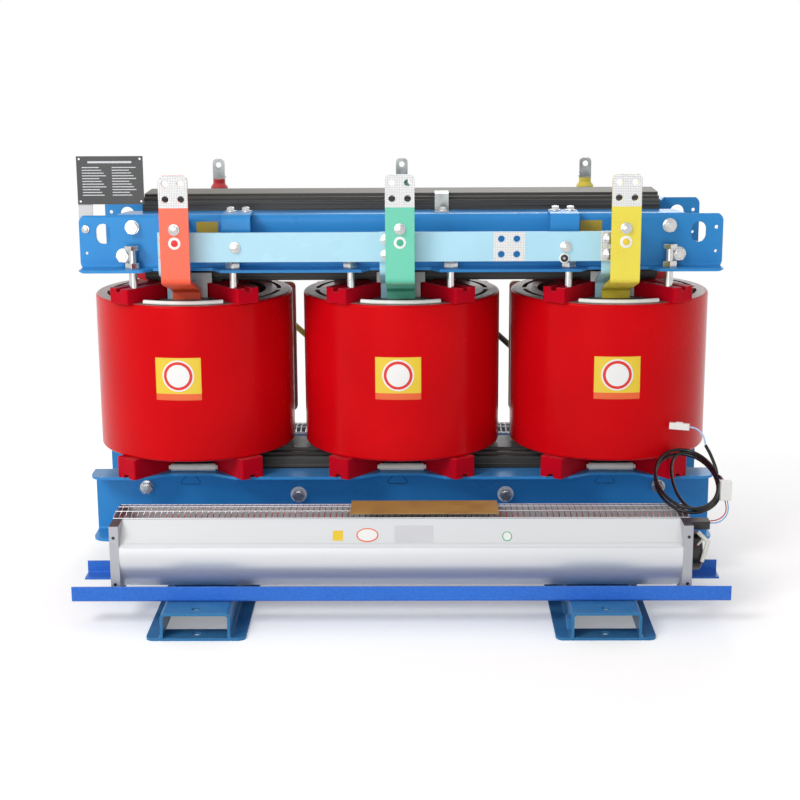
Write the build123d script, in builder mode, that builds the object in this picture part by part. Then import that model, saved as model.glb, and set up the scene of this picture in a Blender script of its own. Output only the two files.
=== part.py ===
"""Three-phase dry-type power transformer with cast-resin windings.

Frame: X along the yokes, +Y away from the low-voltage side, +Z up, origin on the
floor under the middle of the core. All sizes are in millimetres.
"""

import os
from math import atan2, cos, degrees, radians, sin, tan

from build123d import *

os.makedirs("parts", exist_ok=True)

# Overall layout
CLAMP_LENGTH = 1360.0
COIL_PITCH = 460.0
COIL_X = (-COIL_PITCH, 0.0, COIL_PITCH)
PHASES = ("c", "b", "a")
FRONT = -1
REAR = 1

# Feet: two hat-section skids across the core, with a welded strip under each end
FOOT_LENGTH = 1080.0
FOOT_X = 410.0
FOOT_HEIGHT = 58.0
FOOT_TOP_WIDTH = 140.0
FOOT_WIDTH = 200.0
FOOT_PLATE = 5.5
FOOT_BEND = 8.0
FOOT_CORNER = 16.0
FOOT_STRIP = 52.0
FOOT_HOLE_INSET = 28.0
FOOT_HOLE_R = 9.0
LUG_LENGTH = 26.0
LUG_HEIGHT = 22.0
LUG_THICKNESS = 8.0
LUG_BOLT_R = 4.0
RISER_HEIGHT = 31.0
RISER_LENGTH = 120.0
CORE_PAD_WIDTH = 60.0

# Core: packets as (leg width, yoke height, half of the stack at the packet's outer face)
YOKE_HEIGHT = 190.0
YOKE_STEP = 12.0
PACKETS = (
    (190.0, YOKE_HEIGHT, 31.0),
    (170.0, YOKE_HEIGHT, 52.0),
    (140.0, YOKE_HEIGHT - YOKE_STEP, 71.0),
    (100.0, YOKE_HEIGHT - 2 * YOKE_STEP, 86.0),
)
STACK_HALF = PACKETS[-1][2]
CORE_PAD_HEIGHT = 21.0
WINDOW_HEIGHT = 379.0
CORE_BOTTOM = FOOT_HEIGHT + CORE_PAD_HEIGHT
LOWER_YOKE_Z = CORE_BOTTOM + YOKE_HEIGHT / 2
UPPER_YOKE_Z = LOWER_YOKE_Z + YOKE_HEIGHT + WINDOW_HEIGHT
YOKE_HALF_LENGTH = COIL_PITCH + PACKETS[0][0] / 2
CORE_BOLT_X = COIL_PITCH / 2
CORE_BOLT_R = 10.0
CORE_BOLT_CLEARANCE = 2.0

# Clamping frames, bent from plate
PLATE = 6.0
CLAMP_BEND = 9.0
LOWER_CLAMP_Z = FOOT_HEIGHT + RISER_HEIGHT
LOWER_CLAMP_HEIGHT = 146.0
LOWER_CLAMP_FACE = 100.0
LOWER_FLANGE_REACH = 175.0
LOWER_CORNER = 30.0
UPPER_CLAMP_Z = 688.0
UPPER_CLAMP_HEIGHT = 117.0
UPPER_CLAMP_FACE = 155.0
UPPER_FLANGE_REACH = 203.0
UPPER_FLANGE_CORNER = 14.0
UPPER_WEB_CORNER = 17.0
TOP_FLANGE_INSET = 80.0
TOP_FLANGE_HALF = CLAMP_LENGTH / 2 - TOP_FLANGE_INSET
TOP_FLANGE_TAPER = 40.0
RECESS_DEPTH = 30.0
RECESS_HALF = 64.0
RECESS_TAPER = 18.0
LOWER_RECESS_HALF = 47.0
LOWER_RECESS_TAPER = 51.0
LIFTING_X = CLAMP_LENGTH / 2 - 51.0
LIFTING_Z = 765.0
LIFTING_WIDTH = 31.0
LIFTING_HEIGHT = 43.0
EDGE_HOLE_X = CLAMP_LENGTH / 2 - 14.0
EDGE_HOLES = ((775.0, 4.0), (724.0, 3.2))

# Tie bolts through the clamps, beyond the ends of the yokes
TIE_R = 8.0
TIE_CLEARANCE = 1.0
UPPER_TIES = ((YOKE_HALF_LENGTH + 12.0, 779.0), (YOKE_HALF_LENGTH + 33.0, 719.0))
LOWER_TIES = ((YOKE_HALF_LENGTH + 13.0, 192.0),)
HEX_FLATS = 24.0
HEX_HEIGHT = 13.0
WASHER_R = 15.0
CORE_WASHER_R = 18.0
WASHER = 3.0
BOLT_POINT = 4.0

# Windings
COIL_BOTTOM = 280.0
COIL_HEIGHT = 340.0
COIL_TOP = COIL_BOTTOM + COIL_HEIGHT
HV_RADIUS = 217.0
HV_BORE = 158.0
HV_EDGE = 6.0
HV_DUCT_R = 187.0
HV_DUCT_WIDTH = 10.0
HV_DUCTS = 8
HV_DUCT_SPAN = 36.0
LV_RADIUS = 140.0
LV_BORE = 103.0
LV_DUCT_R = 121.0
LV_DUCT_WIDTH = 8.0
LV_DUCTS = 6
LV_DUCT_SPAN = 44.0
BOSS_HALF_WIDTH = 150.0
BOSS_REACH = 232.0
BOSS_Z = (300.0, 600.0)

# Support blocks between the windings and the clamps
BLOCK_ANGLE = 53.0
BLOCK_WIDTH = 54.0
BLOCK_REACH = 229.0
UPPER_BLOCK_HEIGHT = 32.0
BLOCK_EDGE = 4.0
GROOVE_WIDTH = 14.0
GROOVE_DEPTH = 8.0
BLOCK_CORE_GAP = 2.0

# Pressure screws through the upper clamp flange
SCREW_X = 106.0
SCREW_Y = 174.0
SCREW_R = 7.0
SCREW_CLEARANCE = 1.0
SCREW_SHORT = 12.0
SCREW_TALL = 26.0
SCREW_HEAD = 10.0

# Low-voltage bars and their supports
BAR_WIDTH = 60.0
BAR = 8.0
BAR_FACE = 285.0
BAR_TOP = 900.0
BAR_KNEE_Z = 681.0
BAR_TAIL_Y = 129.0
BAR_TAIL_Z = 641.0
BAR_BEND = 10.0
BAR_CORNER = 12.0
HOLE_R = 7.0
HOLE_PITCH = 32.0
BAR_HOLES_BELOW_TOP = 32.5
BAR_BOLT_Z = 790.0
NEUTRAL_FACE = 238.0
NEUTRAL = 8.0
NEUTRAL_HALF = 490.0
NEUTRAL_HEIGHT = 61.0
NEUTRAL_Z = 746.5
NEUTRAL_HOLES_X = 225.0
RISER_OFFSET = -13.0
RISER_KNEE_Z = 690.0
RISER_TAIL_Y = 117.0
RISER_TAIL_Z = 655.0
RISER_BAR = 6.0
BRACKET_X = 342.0
BRACKET_WIDTH = 60.0
BRACKET_DROP = 92.0
BRACKET_LAP = 70.0
BRACKET_BOLT_SPACING = 32.0
BRACKET_BOLT_R = 5.0
BAR_POST_R = 12.5
NEUTRAL_POST_R = 20.0
POST_WAIST = 4.0
POST_RIB = 6.0
BOARD = 4.0
BOARD_Y = 107.0
BOARD_WIDTH = 104.0
BOARD_NECK = 84.0
BOARD_TOP = 674.0

# High-voltage side
PANEL_HALF = 207.0
PANEL = 12.0
PANEL_Z = (286.0, 598.0)
PANEL_CORNER = 12.0
TAP_X = 24.0
TAP_ROWS = (400.0, 440.0, 480.0)
TAP_R = 9.0
TAP_REACH = 14.0
TAP_LINK = 5.0
HV_POST_X = (-425.0, 0.0, 425.0)
HV_POST_Y = 225.0
HV_POST_R = 34.0
HV_POST_TOP_R = 20.0
HV_POST_SHEDS = 4
HV_POST_TOP = 842.0
HV_SEAT = 6.0
HV_SEAT_SIZE = (84.0, 104.0)
TAB_WIDTH = 27.0
TAB = 4.0
TAB_TOP = 888.0
TAB_HOLE_R = 6.5
ROD_R = 7.0
ROD_TOP_Z = 570.0
ROD_LOW_Z = 350.0
ROD_STUD_X = 110.0

# Nameplate and core earthing strap
PLATE_WIDTH = 140.0
PLATE_HEIGHT = 101.0
PLATE_TOP = 928.0
PLATE_SHEET = 2.0
ARM_WIDTH = 30.0
ARM = 3.0
ARM_BOTTOM = 752.0
ARM_LAP = 10.0
STRAP_X = 88.0
STRAP_WIDTH = 30.0
STRAP = 2.0
STRAP_LAP = 44.0

# Rails: angle bars across the feet
RAIL_HALF = 667.0
RAIL_LEG = 40.0
RAIL_HEIGHT = 32.0
RAIL = 4.0
RAIL_BEND = 4.0
OUTER_RAIL_FACE = 474.0
INNER_RAIL_BACK = 297.0
INNER_RAIL_HEIGHT = 29.0

# Cross-flow fans
FAN_HALF = 590.0
FAN_END_DEPTH = 19.0
FAN_SHEET = 3.0
FAN_FRONT = 452.0
FAN_BACK = 303.0
FAN_TOP = 211.0
SKIN = 2.5
LIP_Y = 397.0
SEAM_Y = 452.0
SEAM_Z = 164.0
BELLY_Y = 440.0
BELLY_Z = 106.0
CHIN_Y = 412.0
CHIN_Z = 74.0
THROAT_Y = 352.0
TONGUE_Z = 118.0
ROTOR_Y = 376.0
ROTOR_Z = 134.0
ROTOR_R = 44.0
ROTOR_HALF = 562.0
BLADES = 20
BLADE = 1.6
BLADE_DEPTH = 13.0
BLADE_LEAN = 35.0
BLADE_BOW = 2.2
DISCS = 5
DISC = 2.5
SHAFT_R = 6.0
SHAFT_CLEARANCE = 0.3
SHAFT_REACH = 580.0
MOTOR_R = 40.0
MOTOR_LENGTH = 44.0
MOTOR_BLOCK = (58.0, 28.0, 17.0)
MOTOR_BLOCK_Y = 386.0
MOTOR_BLOCK_TOP = 203.0
BEARING_R = 26.0
BEARING_LENGTH = 22.0
GUARD = 2.2
GUARD_PITCH = 24.0
GUARD_RAILS = 4

# White tubes: curved ones on the windings' front rims, straight ones between the lower blocks
RIM_TUBE_R = 4.5
RIM_TUBE_RADIUS = 205.0
RIM_TUBE_SPAN = 48.0
BLOCK_TUBE_R = 8.0
BLOCK_TUBE_LENGTH = 97.0
BLOCK_TUBE_CAP_R = 5.0
BLOCK_TUBE_CAP = 5.0
BLOCK_TUBE_Y = 122.0
TUBE_CLEARANCE = 0.2

# Fan lead: black cable wound in loose turns, with its box, cores, wires and plug
LEAD_R = 3.5
CORES_R = 2.0
WIRE_R = 1.2
CORD_BEND = 0.45
LOOP_FOOT = (598.5, -398.0, 222.5)
LOOP_HEAD = (598.5, -186.0, 292.5)
LOOP_HALF_WIDTH = 65.0
LOOP_END_R = 45.0
LOOP_SECTION = (18.0, 11.0)
BOX_SIZE = (22.0, 14.0, 42.0)
BOX_PLACE = (669.0, -359.0, 257.7)
BOX_EDGE = 1.5
PLUG_TAIL = (616.5, -199.1, 351.0)
PLUG_TIP = (575.5, -188.7, 352.0)
PLUG_SECTION = (14.0, 11.0)
PLUG_EDGE = 1.5
PLUG_LATCH = (5.0, 2.0, 15.0)
INLET_ROUTE = (
    (664.5, -351.1, 271.1),
    (664.8, -337.0, 274.0),
    (664.6, -322.0, 274.5),
    (664.0, -308.0, 272.5),
    (663.5, -296.5, 269.5),
)
TAIL_ROUTE = (
    (663.3, -286.6, 271.9),
    (660.8, -278.6, 285.4),
    (656.2, -266.1, 298.4),
    (651.5, -253.5, 310.5),
    (645.3, -240.8, 321.2),
)
CORES_ROUTE = (
    (645.2, -240.2, 322.2),
    (643.8, -234.0, 332.5),
    (640.0, -226.0, 342.5),
    (634.0, -218.0, 348.6),
    (626.2, -207.4, 351.4),
    (617.7, -199.5, 351.0),
)
BLUE_ROUTE = (
    (673.0, -359.0, 236.3),
    (675.5, -360.5, 224.0),
    (674.5, -364.0, 211.0),
    (667.0, -369.0, 200.0),
    (655.0, -375.0, 193.5),
    (643.0, -380.0, 193.0),
    (632.7, -383.8, 195.4),
)
RED_ROUTE = (
    (668.0, -358.0, 236.3),
    (671.0, -361.0, 224.5),
    (670.0, -366.0, 212.5),
    (662.0, -371.0, 203.0),
    (650.0, -376.0, 198.5),
    (640.0, -381.0, 198.8),
    (632.8, -385.6, 199.8),
)

SIDE_NAMES = {FRONT: "front", REAR: "rear"}


def save(name: str, part: Part) -> None:
    """Label one node's solids and write them."""
    part.label = name
    export_step(part, f"parts/{name}.step")


def save_mirrored(front: Part, stem: str, tail: str = "") -> None:
    """Write a front piece and its mirror image behind the core."""
    save(f"{stem}_front{tail}", front)
    with BuildPart() as rear:
        mirror(front, about=Plane.XZ)
    save(f"{stem}_rear{tail}", rear.part)


# Feet and pads
def foot(side: int) -> Part:
    """One hat-section skid; the right one carries the earthing lug."""
    x = side * FOOT_X
    low = FOOT_PLATE / 2
    wall = (FOOT_TOP_WIDTH - FOOT_PLATE) / 2
    with BuildPart() as skid:
        with BuildSketch(Plane(origin=(x, 0, 0), x_dir=(1, 0, 0), z_dir=(0, -1, 0))):
            with BuildLine():
                FilletPolyline(
                    (-FOOT_WIDTH / 2, low),
                    (-wall, low),
                    (-wall, FOOT_HEIGHT - low),
                    (wall, FOOT_HEIGHT - low),
                    (wall, low),
                    (FOOT_WIDTH / 2, low),
                    radius=FOOT_BEND,
                )
            trace(line_width=FOOT_PLATE)
        extrude(amount=FOOT_LENGTH / 2, both=True)
        with BuildSketch(Plane(origin=(x, 0, 0))):
            with Locations((0, (FOOT_LENGTH - FOOT_STRIP) / 2), (0, (FOOT_STRIP - FOOT_LENGTH) / 2)):
                Rectangle(FOOT_TOP_WIDTH, FOOT_STRIP)
        extrude(amount=FOOT_PLATE)
        with BuildSketch(Plane(origin=(x, 0, 0))):
            RectangleRounded(FOOT_WIDTH, FOOT_LENGTH, FOOT_CORNER)
        extrude(amount=FOOT_HEIGHT, mode=Mode.INTERSECT)
        hole_y = FOOT_LENGTH / 2 - FOOT_HOLE_INSET
        with BuildSketch(Plane(origin=(x, 0, 0))):
            with Locations((0, hole_y), (0, -hole_y)):
                Circle(FOOT_HOLE_R)
        extrude(amount=FOOT_HEIGHT, mode=Mode.SUBTRACT)
        if side > 0:
            lug_y = -hole_y
            face = x - FOOT_TOP_WIDTH / 2
            wall_plane = Plane(origin=(face, lug_y, FOOT_HEIGHT / 2), x_dir=(0, -1, 0), z_dir=(-1, 0, 0))
            with BuildSketch(wall_plane):
                Rectangle(LUG_LENGTH, LUG_HEIGHT)
            extrude(amount=LUG_THICKNESS)
            with BuildSketch(wall_plane):
                Circle(LUG_BOLT_R)
            extrude(amount=LUG_THICKNESS, mode=Mode.SUBTRACT)
    return skid.part


def riser_pads() -> Part:
    """Packers between the skids and the lower clamps, four in all."""
    inner = LOWER_CLAMP_FACE - PLATE
    depth = LOWER_FLANGE_REACH - inner
    with BuildPart() as pads:
        with BuildSketch(Plane.XY.offset(FOOT_HEIGHT)):
            with GridLocations(2 * FOOT_X, 2 * (inner + depth / 2), 2, 2):
                Rectangle(RISER_LENGTH, depth)
        extrude(amount=RISER_HEIGHT)
    return pads.part


def core_pads() -> Part:
    """Pads under the lower yoke and the strips that fill the clamp gap."""
    outer = PACKETS[-1]
    strip = LOWER_CLAMP_FACE - PLATE - STACK_HALF
    with BuildPart() as pads:
        with BuildSketch(Plane.XY.offset(FOOT_HEIGHT)):
            with GridLocations(2 * FOOT_X, 0, 2, 1):
                Rectangle(RISER_LENGTH, CORE_PAD_WIDTH)
        extrude(amount=CORE_PAD_HEIGHT)
        strip_height = min(outer[1], LOWER_CLAMP_HEIGHT - 2 * (PLATE + CLAMP_BEND))
        strip_z = LOWER_CLAMP_Z + LOWER_CLAMP_HEIGHT / 2
        for side in (FRONT, REAR):
            with BuildSketch(Plane.XZ.offset(-side * STACK_HALF)):
                with Locations((0, strip_z)):
                    Rectangle(2 * YOKE_HALF_LENGTH, strip_height)
                with Locations((-CORE_BOLT_X, LOWER_YOKE_Z), (CORE_BOLT_X, LOWER_YOKE_Z)):
                    Circle(CORE_BOLT_R + CORE_BOLT_CLEARANCE, mode=Mode.SUBTRACT)
            extrude(amount=-side * strip)
    return pads.part


# Core
def yoke(centre_z: float, bolted: bool) -> Part:
    """One stepped yoke; the lower one is drilled for the core bolts."""
    with BuildPart() as stack:
        with BuildSketch(Plane.YZ):
            with Locations((0, centre_z)):
                for _, height, half in PACKETS:
                    Rectangle(2 * half, height)
        extrude(amount=YOKE_HALF_LENGTH, both=True)
        if bolted:
            with BuildSketch(Plane.XZ):
                with Locations((0, centre_z)):
                    with GridLocations(2 * CORE_BOLT_X, 0, 2, 1):
                        Circle(CORE_BOLT_R + CORE_BOLT_CLEARANCE)
            extrude(amount=2 * STACK_HALF, both=True, mode=Mode.SUBTRACT)
    return stack.part


def core_legs() -> Part:
    """Three stepped legs between the yokes, packet by packet."""
    with BuildPart() as legs:
        inner = 0.0
        for width, height, half in PACKETS:
            bottom = LOWER_YOKE_Z + height / 2
            with BuildSketch(Plane.XY.offset(bottom)):
                for x in COIL_X:
                    with Locations((x, (inner + half) / 2), (x, -(inner + half) / 2)):
                        Rectangle(width, half - inner)
            extrude(amount=UPPER_YOKE_Z - height / 2 - bottom)
            inner = half
    return legs.part


# Clamps
def recess(x: float, reach: float, half: float, taper: float) -> tuple:
    """Corners of the shallow notch in a flange's edge at -reach, wider at its mouth."""
    return (
        (x - half - taper, -reach),
        (x - half, RECESS_DEPTH - reach),
        (x + half, RECESS_DEPTH - reach),
        (x + half + taper, -reach),
    )


def lower_clamp() -> Part:
    """Front lower channel, its flanges turned outwards."""
    web = -(LOWER_CLAMP_FACE - PLATE / 2)
    low = LOWER_CLAMP_Z + PLATE / 2
    high = LOWER_CLAMP_Z + LOWER_CLAMP_HEIGHT - PLATE / 2
    with BuildPart() as clamp:
        with BuildSketch(Plane.YZ):
            with BuildLine():
                FilletPolyline(
                    (-LOWER_FLANGE_REACH, low),
                    (web, low),
                    (web, high),
                    (-LOWER_FLANGE_REACH, high),
                    radius=CLAMP_BEND,
                )
            trace(line_width=PLATE)
        extrude(amount=CLAMP_LENGTH / 2, both=True)
        inner = LOWER_CLAMP_FACE - PLATE
        with BuildSketch(Plane.XY.offset(LOWER_CLAMP_Z)) as plan:
            with Locations((0, -(inner + LOWER_FLANGE_REACH) / 2)):
                Rectangle(CLAMP_LENGTH, LOWER_FLANGE_REACH - inner)
            fillet(plan.vertices().group_by(Axis.Y)[0], radius=LOWER_CORNER)
        extrude(amount=LOWER_CLAMP_HEIGHT, mode=Mode.INTERSECT)
        flange = LOWER_CLAMP_Z + LOWER_CLAMP_HEIGHT - PLATE
        with BuildSketch(Plane.XY.offset(flange)):
            for x in COIL_X:
                with BuildLine():
                    Polyline(*recess(x, LOWER_FLANGE_REACH, LOWER_RECESS_HALF, LOWER_RECESS_TAPER), close=True)
                make_face()
        extrude(amount=PLATE, mode=Mode.SUBTRACT)
        with BuildSketch(Plane.XZ):
            with Locations((0, LOWER_YOKE_Z)):
                with GridLocations(2 * CORE_BOLT_X, 0, 2, 1):
                    Circle(CORE_BOLT_R + CORE_BOLT_CLEARANCE)
            for x, z in LOWER_TIES:
                with Locations((x, z), (-x, z)):
                    Circle(TIE_R + TIE_CLEARANCE)
        extrude(amount=LOWER_CLAMP_FACE, mode=Mode.SUBTRACT)
    return clamp.part


def upper_clamp() -> Part:
    """Front upper clamp: flange out at the bottom, flange in to the core at the top."""
    web = -(UPPER_CLAMP_FACE - PLATE / 2)
    top = UPPER_CLAMP_Z + UPPER_CLAMP_HEIGHT
    with BuildPart() as clamp:
        with BuildSketch(Plane.YZ):
            with BuildLine():
                FilletPolyline(
                    (-UPPER_FLANGE_REACH, UPPER_CLAMP_Z + PLATE / 2),
                    (web, UPPER_CLAMP_Z + PLATE / 2),
                    (web, top - PLATE / 2),
                    (-STACK_HALF, top - PLATE / 2),
                    radius=CLAMP_BEND,
                )
            trace(line_width=PLATE)
        extrude(amount=CLAMP_LENGTH / 2, both=True)
        with BuildSketch(Plane.XZ) as elevation:
            with Locations((0, UPPER_CLAMP_Z + UPPER_CLAMP_HEIGHT / 2)):
                Rectangle(CLAMP_LENGTH, UPPER_CLAMP_HEIGHT)
            fillet(elevation.vertices().group_by(Axis.Z)[-1], radius=UPPER_WEB_CORNER)
        extrude(amount=UPPER_FLANGE_REACH, mode=Mode.INTERSECT)
        inside = -(UPPER_CLAMP_FACE - PLATE)
        for side in (-1, 1):
            with BuildSketch(Plane.XY.offset(top - PLATE - CLAMP_BEND)):
                with BuildLine():
                    Polyline(
                        (side * TOP_FLANGE_HALF, inside),
                        (side * (TOP_FLANGE_HALF - TOP_FLANGE_TAPER), 0),
                        (side * CLAMP_LENGTH, 0),
                        (side * CLAMP_LENGTH, inside),
                        close=True,
                    )
                make_face()
            extrude(amount=PLATE + CLAMP_BEND, mode=Mode.SUBTRACT)
        with BuildSketch(Plane.XY.offset(UPPER_CLAMP_Z)):
            for x in COIL_X:
                with BuildLine():
                    Polyline(*recess(x, UPPER_FLANGE_REACH, RECESS_HALF, RECESS_TAPER), close=True)
                make_face()
                with Locations((x - SCREW_X, -SCREW_Y), (x + SCREW_X, -SCREW_Y)):
                    Circle(SCREW_R + SCREW_CLEARANCE)
        extrude(amount=PLATE, mode=Mode.SUBTRACT)
        with BuildSketch(Plane.XZ):
            for side in (-1, 1):
                with Locations((side * LIFTING_X, LIFTING_Z)):
                    SlotOverall(LIFTING_HEIGHT, LIFTING_WIDTH, rotation=90)
                for z, radius in EDGE_HOLES:
                    with Locations((side * EDGE_HOLE_X, z)):
                        Circle(radius)
                for x, z in UPPER_TIES:
                    with Locations((side * x, z)):
                        Circle(TIE_R + TIE_CLEARANCE)
        extrude(amount=UPPER_CLAMP_FACE, mode=Mode.SUBTRACT)
        corners = clamp.edges().filter_by(Axis.Z).group_by(Axis.Y)[0].sort_by(Axis.X)
        fillet([corners[0], corners[-1]], radius=UPPER_FLANGE_CORNER)
    return clamp.part


def through_bolts(places: tuple, face: float, radius: float, washer_r: float) -> Part:
    """Studs across the core at (x, z), with a washer and a nut against each clamp face."""
    spots = [(side * x, z) for x, z in places for side in (-1, 1)]
    nut = HEX_HEIGHT
    with BuildPart() as bolts:
        with BuildSketch(Plane.XZ):
            with Locations(*spots):
                Circle(radius)
        extrude(amount=face + WASHER + nut + BOLT_POINT, both=True)
        for side in (FRONT, REAR):
            with BuildSketch(Plane.XZ.offset(-side * face)):
                with Locations(*spots):
                    Circle(washer_r)
            extrude(amount=-side * WASHER)
            with BuildSketch(Plane.XZ.offset(-side * (face + WASHER))):
                with Locations(*spots):
                    RegularPolygon(HEX_FLATS / 2, 6, major_radius=False)
            extrude(amount=-side * nut)
    return bolts.part


def tie_bolts() -> Part:
    """Tie bolts beyond the yokes and the two core bolts."""
    sets = (
        through_bolts(UPPER_TIES, UPPER_CLAMP_FACE, TIE_R, WASHER_R),
        through_bolts(LOWER_TIES, LOWER_CLAMP_FACE, TIE_R, WASHER_R),
        through_bolts(((CORE_BOLT_X, LOWER_YOKE_Z),), LOWER_CLAMP_FACE, CORE_BOLT_R, CORE_WASHER_R),
    )
    with BuildPart() as bolts:
        add(sets)
    return bolts.part


def pressure_screws() -> Part:
    """Screws from the upper flanges down onto the blocks; the outermost stand taller."""
    flange_top = UPPER_CLAMP_Z + PLATE
    foot_z = COIL_TOP + UPPER_BLOCK_HEIGHT
    with BuildPart() as screws:
        for x in COIL_X:
            for offset in (-SCREW_X, SCREW_X):
                outermost = abs(x + offset) > COIL_PITCH
                reach = HEX_HEIGHT + (SCREW_TALL if outermost else SCREW_SHORT)
                spots = Locations((x + offset, SCREW_Y), (x + offset, -SCREW_Y))
                with BuildSketch(Plane.XY.offset(foot_z)):
                    with spots:
                        Circle(SCREW_R)
                extrude(amount=flange_top + reach - foot_z)
                with BuildSketch(Plane.XY.offset(flange_top)):
                    with spots:
                        RegularPolygon(HEX_FLATS / 2, 6, major_radius=False)
                extrude(amount=HEX_HEIGHT)
                with BuildSketch(Plane.XY.offset(flange_top + reach)):
                    with spots:
                        RegularPolygon(HEX_FLATS / 2, 6, major_radius=False)
                extrude(amount=SCREW_HEAD)
    return screws.part


# Windings
def ducted_ring(x: float, radii: tuple, duct_r: float, duct: float, count: int, span: float) -> Part:
    """A winding's ring with arc-shaped cooling ducts from top to bottom."""
    with BuildPart() as ring:
        with BuildSketch(Plane(origin=(x, 0, COIL_BOTTOM))):
            Circle(radii[1])
            Circle(radii[0], mode=Mode.SUBTRACT)
            for index in range(count):
                middle = (index + 0.5) * 360 / count
                with BuildLine(mode=Mode.PRIVATE) as path:
                    CenterArc((0, 0), duct_r, middle - span / 2, span)
                SlotArc(path.edge(), duct, mode=Mode.SUBTRACT)
        extrude(amount=COIL_HEIGHT)
    return ring.part


def hv_coil(x: float) -> Part:
    """Cast high-voltage winding with its ducts and the terminal boss behind."""
    ring = ducted_ring(x, (HV_BORE, HV_RADIUS), HV_DUCT_R, HV_DUCT_WIDTH, HV_DUCTS, HV_DUCT_SPAN)
    with BuildPart() as coil:
        add(ring)
        rims = coil.edges().filter_by(GeomType.CIRCLE).filter_by(lambda edge: edge.radius > HV_RADIUS - 1)
        fillet(rims, radius=HV_EDGE)
        with BuildSketch(Plane(origin=(x, 0, BOSS_Z[0]))) as boss:
            with Locations((0, BOSS_REACH / 2)):
                Rectangle(2 * BOSS_HALF_WIDTH, BOSS_REACH)
            fillet(boss.vertices().group_by(Axis.Y)[-1], radius=PANEL_CORNER)
            Circle(HV_RADIUS - HV_EDGE, mode=Mode.SUBTRACT)
            with Locations((0, -BOSS_REACH / 2)):
                Rectangle(4 * BOSS_HALF_WIDTH, BOSS_REACH, mode=Mode.SUBTRACT)
        extrude(amount=BOSS_Z[1] - BOSS_Z[0])
    return coil.part


def lv_coils() -> Part:
    """Three low-voltage foil windings, each round its own leg."""
    radii = (LV_BORE, LV_RADIUS)
    rings = [ducted_ring(x, radii, LV_DUCT_R, LV_DUCT_WIDTH, LV_DUCTS, LV_DUCT_SPAN) for x in COIL_X]
    with BuildPart() as coils:
        add(rings)
    return coils.part


# Support blocks
def support_blocks(bottom: float, height: float, groove_z: float) -> Part:
    """Twelve radial blocks with a groove along the face that the clamp bears on."""
    angles = (BLOCK_ANGLE, 180 - BLOCK_ANGLE, 180 + BLOCK_ANGLE, -BLOCK_ANGLE)
    length = BLOCK_REACH - LV_BORE
    with BuildPart() as blocks:
        for x in COIL_X:
            for angle in angles:
                along = (cos(radians(angle)), sin(radians(angle)), 0)
                seat = Plane(origin=(x, 0, bottom), x_dir=along, z_dir=(0, 0, 1))
                with BuildSketch(seat):
                    with Locations(((BLOCK_REACH + LV_BORE) / 2, 0)):
                        RectangleRounded(length, BLOCK_WIDTH, BLOCK_EDGE)
                extrude(amount=height)
                with BuildSketch(seat.offset(groove_z - bottom)):
                    with Locations(((BLOCK_REACH + LV_BORE) / 2, 0)):
                        Rectangle(length, GROOVE_WIDTH)
                extrude(amount=GROOVE_DEPTH, mode=Mode.SUBTRACT)
        if bottom < COIL_BOTTOM:
            with BuildSketch(Plane.XY.offset(bottom)):
                Rectangle(CLAMP_LENGTH, 2 * (STACK_HALF + BLOCK_CORE_GAP))
            extrude(amount=height, mode=Mode.SUBTRACT)
    return blocks.part


# Low-voltage side
def bent_bar(x: float, route: tuple, thickness: float) -> Part:
    """A flat bar across X whose edge-on route is given as (y, z) points."""
    with BuildPart() as bar:
        with BuildSketch(Plane.YZ.offset(x)):
            with BuildLine():
                FilletPolyline(*route, radius=BAR_BEND)
            trace(line_width=thickness)
        extrude(amount=BAR_WIDTH / 2, both=True)
    return bar.part


def contact_holes(x: float, z: float) -> Part:
    """Four drill paths on a square pitch, along Y in front of the core."""
    with BuildPart() as drills:
        with BuildSketch(Plane.XZ):
            with Locations((x, z)):
                with GridLocations(HOLE_PITCH, HOLE_PITCH, 2, 2):
                    Circle(HOLE_R)
        extrude(amount=BAR_FACE)
    return drills.part


def lv_bar(x: float) -> Part:
    """Terminal bar: up from the winding, forward under the clamp, then vertical."""
    y = -(BAR_FACE - BAR / 2)
    route = ((y, BAR_TOP), (y, BAR_KNEE_Z), (-BAR_TAIL_Y, BAR_TAIL_Z), (-BAR_TAIL_Y, COIL_TOP))
    blank = bent_bar(x, route, BAR)
    holes = contact_holes(x, BAR_TOP - BAR_HOLES_BELOW_TOP)
    with BuildPart() as bar:
        add(blank)
        fillet(bar.edges().filter_by(Axis.Y).group_by(Axis.Z)[-1], radius=BAR_CORNER)
        add(holes, mode=Mode.SUBTRACT)
    return bar.part


def neutral_bar() -> Part:
    """Long flat neutral bar across the front with its contact window."""
    holes = contact_holes(NEUTRAL_HOLES_X, NEUTRAL_Z)
    with BuildPart() as bar:
        with BuildSketch(Plane.XZ.offset(NEUTRAL_FACE - NEUTRAL)):
            with Locations((0, NEUTRAL_Z)):
                Rectangle(2 * NEUTRAL_HALF, NEUTRAL_HEIGHT)
        extrude(amount=NEUTRAL)
        add(holes, mode=Mode.SUBTRACT)
    return bar.part


def neutral_risers() -> Part:
    """Bars from each winding's neutral end up to the back of the neutral bar."""
    y = -(NEUTRAL_FACE - NEUTRAL - RISER_BAR / 2)
    top = NEUTRAL_Z + NEUTRAL_HEIGHT / 2
    route = ((y, top), (y, RISER_KNEE_Z), (-RISER_TAIL_Y, RISER_TAIL_Z), (-RISER_TAIL_Y, COIL_TOP))
    bars = [bent_bar(x + RISER_OFFSET, route, RISER_BAR) for x in COIL_X]
    with BuildPart() as risers:
        add(bars)
    return risers.part


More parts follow.
